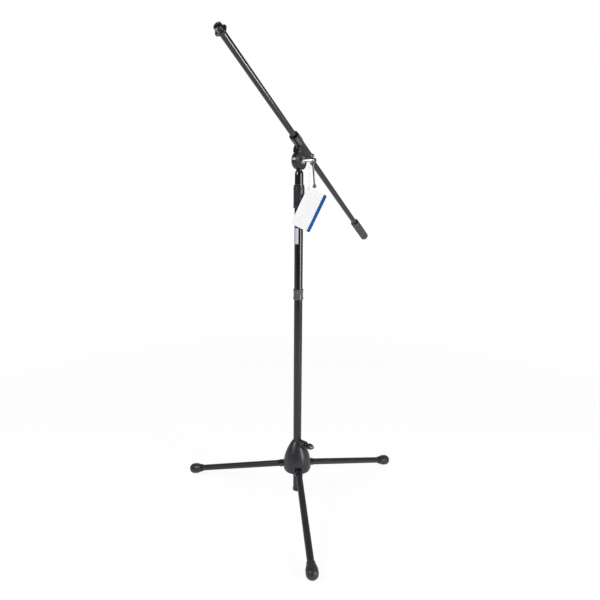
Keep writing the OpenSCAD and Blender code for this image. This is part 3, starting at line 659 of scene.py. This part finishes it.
@dataclass
class Base(SubAssembly):
    """The hub, its thumbscrew and the three legs."""

    boss_z: float = 158.0
    paddle_reach: float = 28.0
    screw_turn: float = -40.0
    paddle_len: float = 26.0
    paddle_w: float = 15.0
    paddle_t: float = 5.0
    paddle_turn: float = 55.0
    collar_r: float = 6.2
    collar_h: float = 4.5
    collar_top: float = 5.2
    cols: int = 48

    def build(self) -> None:
        """Makes the thumbscrew's paddle."""
        self.fit(self._paddle(), GLOSS, "thumbscrew", ["thumbscrew_paddle"])

    def _paddle(self) -> Piece:
        """A cushioned oval with pointed ends, on a short round collar.

        Returns:
            The piece. Across, the oval is as wide as two crossing circles leave; its section is a
            rounded lens, and its thickness falls towards the outer end.
        """
        turn, lean = radians(self.screw_turn), radians(self.paddle_turn)
        out = np.array([cos(turn), sin(turn), 0.0])
        aside = np.array([-sin(turn), cos(turn), 0.0])
        flat = cos(lean) * aside + sin(lean) * UP
        thin = cos(lean) * UP - sin(lean) * aside
        axis = Axis((self.boss_z * UP + self.paddle_reach * out) * MM, out, flat, thin)
        half, width = self.paddle_len / 2, self.paddle_w
        bow = (half * half + width * width / 4) / width
        share = 0.5 - 0.5 * np.cos(np.linspace(0.04, pi - 0.04, 60))
        along = share * self.paddle_len
        reach = np.sqrt(bow ** 2 - (along - half) ** 2) - (bow - width / 2)
        thick = self.paddle_t / 2 * (0.55 + 0.45 * np.cos(share * pi / 2))
        thick = thick * np.minimum(1.0, 6.0 * share + 0.5) * np.sqrt(np.minimum(1.0, 8.0 * (1.0 - share)))
        angle = full_turn(self.cols)
        oval = axis.place(reach[:, None] * squared_off(np.cos(angle), 0.8),
                          thick[:, None] * squared_off(np.sin(angle), 0.6), along[:, None])
        collar = rounded_profile([(0.4, 0, 0), (self.collar_r, 0, 0.4), (self.collar_r, self.collar_h, 1.2),
                                  (0.4, self.collar_top, 0)])
        return skin("thumbscrew_oval", oval, axis.lathe(collar, self.cols))

    def dress(self) -> None:
        """Gives hub, legs and feet their finishes."""
        self.dress_nodes(HUB_SATIN, "hub_housing")
        self.dress_nodes(STEEL, "hub_clamp_nut", "leg_pins", "hub_thumbscrew")
        for side in ("front", "left", "right"):
            self.dress_nodes(LEG_ENAMEL, f"leg_tube_{side}")
            self.dress_nodes(GLOSS, f"leg_knuckle_{side}")
            self.dress_nodes(RUBBER, f"foot_{side}")


@dataclass
class Mast(SubAssembly):
    """The two mast tubes with their coupling, end cap and blank label."""

    mast_r: float = 10.0
    label_low: float = 654.0
    label_high: float = 690.0
    label_from: float = -57.0
    label_to: float = -4.0
    label_t: float = 0.12
    label_gap: float = 0.01
    rings: Sequence[float] = (0.05, 0.3, 0.55, 0.8, 1.0)

    def build(self) -> None:
        """Makes the label."""
        self.fit(self._label(), PAPER, "mast")

    def _label(self) -> Piece:
        """A thin sheet bent round the mast, with round corners.

        Returns:
            The piece. Its outline is a rounded rectangle in turn and height, drawn as rings round its
            middle, on an outer and an inner radius.
        """
        angle = full_turn(96)
        half_turn = radians(self.label_to - self.label_from) / 2
        half_height = (self.label_high - self.label_low) / 2
        share = np.array([*self.rings, *self.rings[::-1]])[:, None]
        radius = self.mast_r + np.repeat([self.label_t, self.label_gap], len(self.rings))[:, None]
        turn = radians(self.label_from + self.label_to) / 2
        turn = turn + share * half_turn * squared_off(np.cos(angle), 0.18)
        height = (self.label_low + self.label_high) / 2
        height = height + share * half_height * squared_off(np.sin(angle), 0.07)
        return skin("mast_label", UPRIGHT.place(radius * np.sin(turn), -radius * np.cos(turn), height))

    def dress(self) -> None:
        """Gives tubes, coupling and cap their finishes."""
        self.dress_nodes(ENAMEL, "mast_lower_tube", "mast_upper_tube")
        self.dress_nodes(GLOSS, "mast_end_cap")
        self.dress_nodes(RING_SATIN, "mast_coupling")


@dataclass
class HeightClutch(SubAssembly):
    """The twist grip, its body and collet, and the riser."""

    low: float = 734.0
    height: float = 51.0
    bore_r: float = 10.87
    wall: float = 2.0
    band_h: float = 7.0
    band_step: float = 1.0
    cap_h: float = 5.5
    hole_r: float = 8.725
    edge: float = 0.8
    panels: int = 6
    panel_r: float = 10.0
    panel_arch: float = 5.5
    panel_depth: float = 0.9
    panel_from: float = 2.6
    panel_ease: float = 0.9
    cols: int = 288

    def build(self) -> None:
        """Makes the grip."""
        self.fit(self._grip(), GRIP_SATIN, "grip", ["clutch_grip"])

    def _grip(self) -> Piece:
        """A round grip with hollow panels that end in an arch.

        Returns:
            The piece. The radius is the lower of the grip's own and of the distance from its axis to a
            round cutter beside it, whose own radius falls as a circle's above the arch's spring.
        """
        low, outer, top = self.low, self.bore_r + self.wall, self.low + self.height
        offset = outer + self.panel_r - self.panel_depth
        spring = top - self.band_h - self.panel_arch
        height = np.concatenate([
            np.linspace(low, low + 1.0, 6), np.linspace(low + 1.2, low + 4.6, 24),
            np.linspace(low + 5.0, spring, 24), np.linspace(spring + 0.15, top, 130)])
        away = from_middles(self.cols, self.panels, pi / 2)
        above = np.clip(height - spring, 0.0, self.panel_r)
        inside = (self.panel_r ** 2 - above ** 2)[:, None] - (offset * np.sin(away)) ** 2
        hollow = offset * np.cos(away) - np.sqrt(np.clip(inside, 0.0, None))
        hollow = np.where(inside > 0, hollow, outer + 4.0)
        hollow = hollow + (1.0 - eased((height - low - self.panel_from) / self.panel_ease))[:, None] * 2.5
        band = outer - np.clip(height - (top - self.band_h), 0.0, self.band_step)
        band = band - np.clip(low + self.edge - height, 0.0, self.edge)
        band = band - np.clip(height - top + self.edge, 0.0, self.edge)
        inner = np.array([(self.hole_r, top), (self.hole_r, top - self.cap_h),
                          (self.bore_r, top - self.cap_h), (self.bore_r, low)])
        radius = np.concatenate([smooth_min(band[:, None], hollow, 0.12), even_rows(inner[:, 0], self.cols)])
        points = UPRIGHT.carry_round(radius, np.concatenate([height, inner[:, 1]]))
        return skin("twist_grip", points, ends=Ends.JOINED)

    def dress(self) -> None:
        """Gives the body, collet and riser their finishes."""
        self.dress_nodes(GLOSS, "clutch_body")
        self.dress_nodes(NYLON, "clutch_collet", "riser_guide_plug")
        self.dress_nodes(TUBE_PLATE, "riser_tube")


@dataclass
class Head(SubAssembly):
    """The mast head, boom holder and clamp."""

    bolt_r: float = 3.15
    bolt_from: float = -11.0
    shoulder_from: float = 10.4
    shoulder_t: float = 3.0
    shoulder_r: float = 5.55
    handle_reach: float = 33.5
    head_len: float = 14.0
    head_r: float = 5.1
    handle_len: float = 65.0
    handle_turn: float = -41.0
    handle_stop: float = 9.8
    bar_r: float = 1.9
    ball_r: float = 4.4
    # where the painted shade on the bolt's head starts, inside the head, and how far it fades in
    head_shade_from: float = 2.0
    head_shade_fade: float = 2.0
    collar_from: float = -50.0
    collar_len: float = 26.0
    collar_r: float = 10.3
    pads: int = 6
    pad_turn: float = 51.0
    pad_base: float = 0.1
    pad_rise: float = 0.7
    pad_root: float = 0.7
    pad_share: float = 0.36
    pad_inset: float = 1.0
    pad_rim: float = 0.4
    pad_cols: int = 288

    def build(self) -> None:
        """Makes the clamp bolt, its sliding bar and the raised pads round the sleeve's collar."""
        # The bolt's head past the plane gets a darker colour: painted shade that stands in for the dim
        # reflection on the head.
        plate = PastPlane("bolt_plate", CHROME.colour, 0.12, SCUFF, 0.4, 0.002, 6.0, 0.4, 0.5, 1.0,
                          second=(0.24, 0.22, 0.20), deepest=0.75, direction=self.layout.across,
                          start=(self.handle_reach - self.head_shade_from) * MM, fade=self.head_shade_fade * MM)
        self.fit(self._bolt(), plate, "clamp", ["clamp_bolt"])
        self.fit(self._bar(), NICKEL, "handle", ["clamp_handle"])
        self.fit(self._pads(), COLLAR_SHEEN_SHADE, "holder")

    def _bolt(self) -> Piece:
        """A turned bolt with a shoulder, a round neck and a barrel head.

        Returns:
            The piece: a rounded profile carried round the pivot's axis.
        """
        near, far = self.handle_reach - self.head_len / 2, self.handle_reach + self.head_len / 2
        start, stop = self.shoulder_from, self.shoulder_from + self.shoulder_t
        profile = rounded_profile([
            (0.3, self.bolt_from, 0), (self.bolt_r, self.bolt_from, 0.8), (self.bolt_r, start, 0.05),
            (self.shoulder_r, start, 0.3), (self.shoulder_r, stop, 1.0), (self.bolt_r, stop + 1.2, 0.6),
            (self.bolt_r, near, 0.05), (self.head_r, near, 1.0), (self.head_r, far, 1.4), (0.3, far, 0)])
        return skin("clamp_bolt_turned", self.layout.bolt_axis.lathe(profile, 64))

    def _pads(self) -> Piece:
        """Raised pads round the collar at the sleeve's mouth, with painted sheen on the pads and painted
        shade between them.

        Returns:
            The piece: a thin ring on the collar that rises in each pad. A pad's outline is where the fourth
            powers of its two shares, across and along, add up to 1.
        """
        half = self.collar_len / 2 - self.pad_inset
        along = np.linspace(-half - self.pad_rim, half + self.pad_rim, 72)
        away = from_middles(self.pad_cols, self.pads, radians(self.pad_turn))
        across = away / (self.pad_share * 2.0 * pi / self.pads)
        low = 1.0 - eased((1.0 - across ** 4 - (along / half)[:, None] ** 4) / 0.5)
        outer = self.collar_r + self.pad_base + self.pad_rise * (1.0 - low)
        radius = np.concatenate([outer, even_rows([self.collar_r - self.pad_root] * 2, self.pad_cols)])
        place = self.collar_from + self.collar_len / 2 + np.concatenate([along, along[[-1, 0]]])
        points = self.layout.boom_axis.carry_round(radius, place)
        # The pads' groove values paint shade into the gaps between them.
        return grooved(skin("collar_pads", points, ends=Ends.JOINED), low)

    def _bar(self) -> Piece:
        """A bar that swells into a ball at each end.

        Returns:
            The piece. Along the bar, the radius is the higher of the bar's and of each ball's, with the
            crease rounded.
        """
        tilt, half = radians(self.handle_turn), self.handle_len / 2
        along = cos(tilt) * self.layout.boom_up + sin(tilt) * self.layout.boom_along
        aside = self.layout.across
        middle = self.layout.pivot + (self.handle_reach * aside + (self.handle_stop - half) * along) * MM
        axis = Axis(middle, along, aside, np.cross(along, aside))
        place = (half + self.ball_r) * np.sin(np.linspace(-pi / 2, pi / 2, 141)[1:-1])
        on_bar = np.abs(place) < half
        ball = np.sqrt(np.clip(self.ball_r ** 2 - (np.abs(place) - half) ** 2, 0.0, None))
        radius = -smooth_min(-ball, -np.where(on_bar, self.bar_r, 0.0), 0.35)
        radius = np.where(on_bar, radius, np.minimum(radius, ball))
        return skin("clamp_bar", axis.lathe(np.stack([radius, place], axis=-1), 48))

    def dress(self) -> None:
        """Gives the moulded pieces and the small metal their finishes."""
        layout, up = self.layout, self.layout.boom_up
        self.dress_nodes(GLOSS, "mast_head", "boom_liner")
        # The boom holder's hood gets painted shade: a near-black second colour and a weak reflection.
        self.dress_nodes(ShadedHoodSatin(
            "cheek_grain", (0.032, 0.031, 0.038), 0.42, PEBBLE, 0.7, 0.02, 9.0, 0.25, 0.35,
            second=(0.004, 0.004, 0.005), deepest=0.7, across=layout.across, up=up,
            sleeve_side=layout.boom_side, sleeve_up=layout.pivot @ up + layout.boom_rise), "boom_holder")
        self.dress_nodes(CHROME, "clamp_nut", "clamp_washer")
        self.dress_nodes(FIBRE, "tilt_friction_disc")


@dataclass
class Boom(SubAssembly):
    """The boom tube, its tip and its counterweight."""

    boom_r: float = 6.5
    front: float = 340.0
    rear: float = 435.0
    weight_len: float = 79.0
    cover_r: float = 10.94
    cover_gap: float = 0.03
    cover_lip: float = 6.0
    cover_mouth: float = 3.0
    cover_end: float = 4.0
    cover_round: float = 4.5
    cover_rows: int = 100
    cover_cols: int = 160
    diamonds: int = 8
    diamond_ratio: float = 1.7
    groove: float = 0.8
    groove_share: float = 0.7
    groove_fade: float = 2.0
    plain_front: float = 3.0
    plain_end: float = 5.0
    stud_r: float = 7.9375
    stud_len: float = 16.0
    stud_bore_r: float = 4.6
    stud_bore_len: float = 13.0
    stud_foot: float = 2.0
    stud_edge: float = 0.8
    stud_cols: int = 96
    thread_pitch: float = 25.4 / 27
    thread_depth: float = 0.5
    thread_fade: float = 1.2
    ring_from: float = 2.0
    ring_h: float = 5.0
    ring_r: float = 10.1875
    ring_bore_r: float = 7.9875
    ring_turn: float = -48.0
    ring_cols: int = 192
    ear_reach: float = 1.7
    ear_half: float = 2.25

    def build(self) -> None:
        """Makes the threaded stud, the lock ring and the counterweight's cover."""
        self.fit(self._stud(), DARK_STEEL, "boom", ["tip_stud"])
        self.fit(self._ring(), GLOSS, "lock_ring", ["tip_lock_ring"])
        self.fit(self._cover(), COVER, "boom", ["counterweight_cover"])

    def _stud(self) -> Piece:
        """A hollow stud with an outside thread.

        Returns:
            The piece. The thread's radius falls from the stud's by half a cosine of turn less distance
            over pitch, and fades out at the foot and the end.
        """
        high, bore, edge = self.stud_len, self.stud_bore_r, self.stud_edge
        along = np.linspace(0.0, high, 150)
        fade = np.clip(along / self.thread_fade, 0.0, 1.0) * np.clip((high - along) / edge, 0.0, 1.0)
        phase = 2.0 * pi * along[:, None] / self.thread_pitch - full_turn(self.stud_cols)
        radius = self.stud_r - 0.5 * self.thread_depth * fade[:, None] * (1.0 + np.cos(phase))
        radius = radius - np.clip(along - high + edge, 0.0, edge)[:, None]
        floor, core = high - self.stud_bore_len, self.boom_r - 1.0
        inner = np.array([(bore + 0.6, high), (bore, high - 0.6), (bore, floor + 0.4), (bore - 0.4, floor),
                          (0.3, floor)])
        foot = np.array([(0.3, -self.stud_foot), (core, -self.stud_foot), (core, 0.0)])
        first, last = (even_rows(rows[:, 0], self.stud_cols) for rows in (foot, inner))
        along = np.concatenate([foot[:, 1], along, inner[:, 1]])
        axis = self.layout.tip_axis(self.front)
        return skin("tip_thread", axis.carry_round(np.concatenate([first, radius, last]), along))

    def _ring(self) -> Piece:
        """A ring with two round ears.

        Returns:
            The piece. Its rim is the ring's radius plus the ears' reach times a bell curve of the turn;
            the section has rounded outer edges.
        """
        away = from_middles(self.ring_cols, 2, pi / 2 - radians(self.ring_turn))
        rim = self.ring_r + self.ear_reach * np.exp(-(away * self.ring_r / self.ear_half) ** 4)
        inset, rise = np.array([1.2, 0.5, 0.15, 0.0]), np.array([0.0, 0.1, 0.4, 1.0])
        radius = rim - np.concatenate([inset, inset[::-1]])[:, None]
        bore = even_rows([self.ring_bore_r], self.ring_cols)
        along = np.concatenate([[0.0], rise, self.ring_h - rise[::-1], [self.ring_h]])
        along = along - (self.front + self.ring_from + self.ring_h)
        points = self.layout.boom_axis.carry_round(np.concatenate([bore, radius, bore]), along)
        return skin("tip_ring", points, ends=Ends.JOINED)

    def _cover(self) -> Piece:
        """A long round cover, open round the boom in front and closed behind, with raised diamonds.

        Returns:
            The piece: a rounded profile carried round the boom's axis. Two sets of slanting grooves cross
            on it: a groove lies where the cosine of either set's count is near 0, and fades at the ends.
        """
        front, end = self.rear - self.weight_len - self.cover_lip, self.rear + self.cover_end
        bore = self.boom_r + self.cover_gap
        profile = rounded_profile([
            (bore, front + self.cover_mouth, 0), (bore, front, 0.05), (self.cover_r, front, 1.0),
            (self.cover_r, end, self.cover_round), (0.5, end, 0)], 10)
        full = int(np.argmax(profile[:, 0] > self.cover_r - TINY))
        middle = np.linspace(profile[full], profile[full + 1], self.cover_rows + 2)[1:-1]
        profile = np.concatenate([profile[:full + 1], middle, profile[full + 1:]])
        along = profile[:, 1, None]
        count = self.diamonds * np.arange(self.cover_cols) / self.cover_cols
        rise = along * self.diamonds / (2.0 * pi * self.cover_r * self.diamond_ratio)
        pad = np.minimum(*(np.abs(np.cos(pi * (count + lean))) for lean in (rise, -rise)))
        ends = np.clip((along - front - self.plain_front) / self.groove_fade, 0.0, 1.0)
        ends = ends * np.clip((end - self.plain_end - along) / self.groove_fade, 0.0, 1.0)
        low = (1.0 - np.clip(pad / self.groove_share, 0.0, 1.0)) * ends
        radius = profile[:, :1] * (1.0 - self.groove / self.cover_r * low)
        # The groove values also paint shade into the grooves through the cover's finish.
        return grooved(skin("cover_patterned", self.layout.boom_axis.carry_round(radius, profile[:, 1])), low)

    def dress(self) -> None:
        """Gives the tube and the weight their finishes."""
        self.dress_nodes(ENAMEL, "boom_tube")
        self.dress_nodes(STEEL, "counterweight")


@dataclass
class HangTag(SubAssembly):
    """The blank card, hung from its corner on a loop."""

    card_w: float = 47.0
    card_len: float = 89.0
    card_y: float = -13.57
    band_w: float = 7.5
    band_edge: float = 0.4
    hole_inset: float = 4.6
    loop_drop: float = 61.0
    loop_r: float = 0.5
    loop_side: float = 25.0
    loop_turn_r: float = 3.95
    loop_spread: float = 1.4
    loop_steps: int = 420
    loop_reach: int = 3
    eyelet_r: float = 3.0
    eyelet_half: float = 1.2
    eyelet_rise: float = 0.6

    @property
    def from_middle(self) -> Tuple[float, float]:
        """How far the hole lies left of the card's middle and above it, on the card."""
        return self.card_w / 2 - self.hole_inset, self.card_len / 2 - self.hole_inset

    @property
    def right(self) -> Array:
        """The card's own right, when its middle hangs straight below the hole."""
        tilt = atan2(*self.from_middle)
        return np.array([cos(tilt), 0.0, -sin(tilt)])

    @property
    def hole(self) -> Array:
        """The middle of the card's hole, in millimetres."""
        return np.array([self.loop_side * self.layout.across[0], self.card_y,
                         self.layout.pivot_z / MM - self.loop_drop])

    def build(self) -> None:
        """Makes the loop and the eyelet."""
        self.fit(self._loop(), CLEAR_TIE, "tag", ["tag_loop"])
        self.fit(self._eyelet(), CLEAR_TIE, "tag", ["tag_eyelet"])

    def _loop(self) -> Piece:
        """A thin stiff loop over the bolt and through the eyelet.

        Returns:
            The piece: a circle carried along straight runs and a half turn, whose corners are rounded by
            a running mean.
        """
        top = self.layout.pivot / MM + self.loop_side * self.layout.across
        arc = np.linspace(pi, 0.0, 40)[:, None]
        over = top + self.loop_turn_r * (np.cos(arc) * self.layout.rear + np.sin(arc) * UP)
        eye = self.hole + np.array([[0.0, -self.loop_spread, 0.0], [0.0, self.loop_spread, 0.0]])
        corners = np.concatenate([eye[:1], over, eye[1:], eye[:1]])
        length = np.concatenate([[0.0], np.cumsum(np.linalg.norm(np.diff(corners, axis=0), axis=1))])
        even = np.linspace(0.0, length[-1], self.loop_steps, endpoint=False)
        path = np.stack([np.interp(even, length, part) for part in corners.T], axis=-1)
        share = np.hanning(2 * self.loop_reach + 3)[1:-1]
        wide = np.concatenate([path[-self.loop_reach:], path, path[:self.loop_reach]])
        path = np.stack([np.convolve(part, share / share.sum(), mode="valid") for part in wide.T], axis=-1)
        return tube_along("tag_tie", path * MM, self.loop_r * MM)

    def _eyelet(self) -> Piece:
        """A rolled ring in the card's hole.

        Returns:
            The piece: a closed rounded section carried round the hole's axis.
        """
        out = np.array([0.0, -1.0, 0.0])
        axis = Axis(self.hole * MM, out, self.right, np.cross(out, self.right))
        angle = full_turn(28)
        radius = self.eyelet_r + self.eyelet_half * np.cos(angle)
        profile = np.stack([radius, self.eyelet_rise * np.sin(angle)], axis=-1)
        return skin("tag_ring", axis.lathe(profile, 48), ends=Ends.JOINED)

    def dress(self) -> None:
        """Gives the card its white, and its band past a line along the right edge."""
        middle = self.hole - hypot(*self.from_middle) * UP
        start = middle @ self.right + self.card_w / 2 - self.band_w - self.band_edge / 2
        self.dress_nodes(PastPlane(
            "coated_card", (0.89, 0.895, 0.90), 0.38, PEEL, 0.4, 0.004, 25.0, 0.04, 0.5,
            second=(0.004, 0.095, 0.36), deepest=0.85, direction=self.right, start=start * MM,
            fade=self.band_edge * MM), "tag_card")


@dataclass(frozen=True)
class Lamp:
    """A soft lamp: its place, what it faces, its width and height in metres and its power in watts.

    A lamp that names nodes is flagged off from all else.
    """

    name: str
    place: Triple
    aim: Triple
    width: float
    height: float
    power: float
    only: Tuple[str, ...] = ()

    def build(self, nodes: Dict[str, Piece]) -> None:
        """Hangs the lamp, upright, facing its aim.

        Args:
            nodes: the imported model's objects by name.
        """
        data = bpy.data.lights.new(self.name, "AREA")
        data.shape = "RECTANGLE"
        data.size, data.size_y = self.width, self.height
        data.energy = self.power
        lamp = bpy.data.objects.new(self.name, data)
        ray = Vector(self.aim) - Vector(self.place)
        turn = ray.to_track_quat("-Z", "Y").to_matrix().to_4x4()
        lamp.matrix_world = Matrix.Translation(Vector(self.place)) @ turn
        bpy.context.scene.collection.objects.link(lamp)
        if self.only:
            lit = bpy.data.collections.new(f"lit_by_{self.name}")
            for name in self.only:
                lit.objects.link(nodes[name])
            lamp.light_linking.receiver_collection = lit


@dataclass
class Studio:
    """The camera, the lamps, the world and the floor. Lengths in metres, the camera's turns in degrees."""

    camera_at: Triple = (0.0, -1.29496, 0.78486)
    pitch: float = 15.516
    yaw: float = 0.2156
    roll: float = 0.4645
    lens: float = 33.572
    shift_y: float = 40.0 / 600.0
    clip: Tuple[float, float] = (0.05, 50.0)
    ambient: float = 0.38
    room: float = 0.12
    mirrored: float = 0.3
    room_edge: Tuple[float, float] = (-0.2, 0.4)
    floor_x: Tuple[float, float] = (-8.0, 8.0)
    floor_y: Tuple[float, float] = (-2.2, 14.0)
    floor_colour: Triple = (0.88, 0.88, 0.88)
    floor_roughness: float = 0.9
    glow: float = 1.06
    glow_share: float = 0.86
    glow_mirrored: float = 0.4
    glow_edge: Tuple[float, float] = (1.2, 3.0)
    lamps: Sequence[Lamp] = (
        Lamp("key", (1.375, -1.0, 0.75), (0.0, 0.0, 0.75), 0.55, 1.1, 18.0),
        Lamp("left", (-1.35, -0.88, 1.4), (0.0, 0.0, 0.85), 0.8, 0.8, 15.0),
        Lamp("low", (1.6, -0.2, 0.27), (-0.1, -0.2, 0.9), 0.6, 0.25, 11.0, ("boom_tube",)),
    )

    def build(self, nodes: Dict[str, Piece]) -> None:
        """Makes the whole studio.

        Args:
            nodes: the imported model's objects by name.
        """
        self._camera()
        self._world()
        self._floor()
        for lamp in self.lamps:
            lamp.build(nodes)

    def _camera(self) -> None:
        """Sets the camera from its place and its three turns."""
        pitch, yaw, roll = (radians(a) for a in (self.pitch, self.yaw, self.roll))
        ahead = Vector((sin(yaw) * cos(pitch), cos(yaw) * cos(pitch), -sin(pitch)))
        level = Vector((cos(yaw), -sin(yaw), 0.0))
        over = level.cross(ahead)
        right = cos(roll) * level + sin(roll) * over
        up = -sin(roll) * level + cos(roll) * over
        data = bpy.data.cameras.new("camera")
        data.sensor_width = 36.0
        data.lens = self.lens
        data.shift_y = self.shift_y
        data.clip_start, data.clip_end = self.clip
        camera = bpy.data.objects.new("camera", data)
        turn = Matrix((right, up, -ahead)).transposed().to_4x4()
        camera.matrix_world = Matrix.Translation(Vector(self.camera_at)) @ turn
        bpy.context.scene.collection.objects.link(camera)
        bpy.context.scene.camera = camera

    def _world(self) -> None:
        """A world that is white to the eye.

        In reflections it is dim, and dimmer behind the camera than on the backdrop's side, by the ray's own
        direction. As light it is soft.
        """
        world = bpy.data.worlds.new("studio")
        tree = NodeTree(world)
        ahead = tree.dot(tree.add("TexCoord", {}).outputs["Generated"], (0.0, 1.0, 0.0))
        mirrored = tree.span(ahead, *self.room_edge, self.room, self.mirrored)
        level = tree.span(tree.seen(1.0), 0.0, 1.0, self.ambient, mirrored)
        camera_ray = tree.add("LightPath", {}).outputs["Is Camera Ray"]
        back = tree.nodes["Background"]
        tree.feed((1.0, 1.0, 1.0), back.inputs["Color"])
        tree.feed(tree.combine("MAXIMUM", level, camera_ray), back.inputs["Strength"])
        bpy.context.scene.world = world

    def _floor(self) -> None:
        """A pale floor that is white to the eye and keeps a soft shadow.

        The glow's share rises from its own level near the stand to 1 far off, by the distance from the
        mast, so that the floor runs into the backdrop.
        """
        (left, right), (near, far) = self.floor_x, self.floor_y
        mesh = bpy.data.meshes.new("floor")
        mesh.from_pydata([(left, near, 0.0), (right, near, 0.0), (right, far, 0.0), (left, far, 0.0)], [],
                         [(0, 1, 2, 3)])
        floor = bpy.data.objects.new("floor", mesh)
        bpy.context.scene.collection.objects.link(floor)
        tree = NodeTree(bpy.data.materials.new("pale_floor"))
        shader = tree.nodes["Principled BSDF"]
        tree.feed(self.floor_colour, shader.inputs["Base Color"])
        tree.feed(self.floor_roughness, shader.inputs["Roughness"])
        length = tree.add("VectorMath", {0: tree.place()}, operation="LENGTH").outputs["Value"]
        far_off = tree.span(length, *self.glow_edge, self.glow_share, 1.0)
        share = tree.combine("MULTIPLY", tree.seen(self.glow_mirrored), far_off)
        glow = tree.add("Emission", {"Strength": self.glow}).outputs["Emission"]
        mix = tree.add("MixShader", {"Fac": share, 1: shader.outputs["BSDF"], 2: glow})
        tree.feed(mix.outputs["Shader"], tree.nodes["Material Output"].inputs["Surface"])
        mesh.materials.append(tree.owner)


def main() -> None:
    """Builds the stand's pieces in order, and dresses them."""
    logging.basicConfig(level=logging.INFO, format="%(name)s: %(message)s")
    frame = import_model()
    bpy.context.scene.view_settings.view_transform = "Standard"
    nodes = frame["nodes"]
    layout = Layout()
    Studio().build(nodes)
    for kind in (Base, Mast, HeightClutch, Head, Boom, HangTag):
        part = kind(nodes, layout)
        part.build()
        part.dress()


if __name__ == "__main__":
    main()
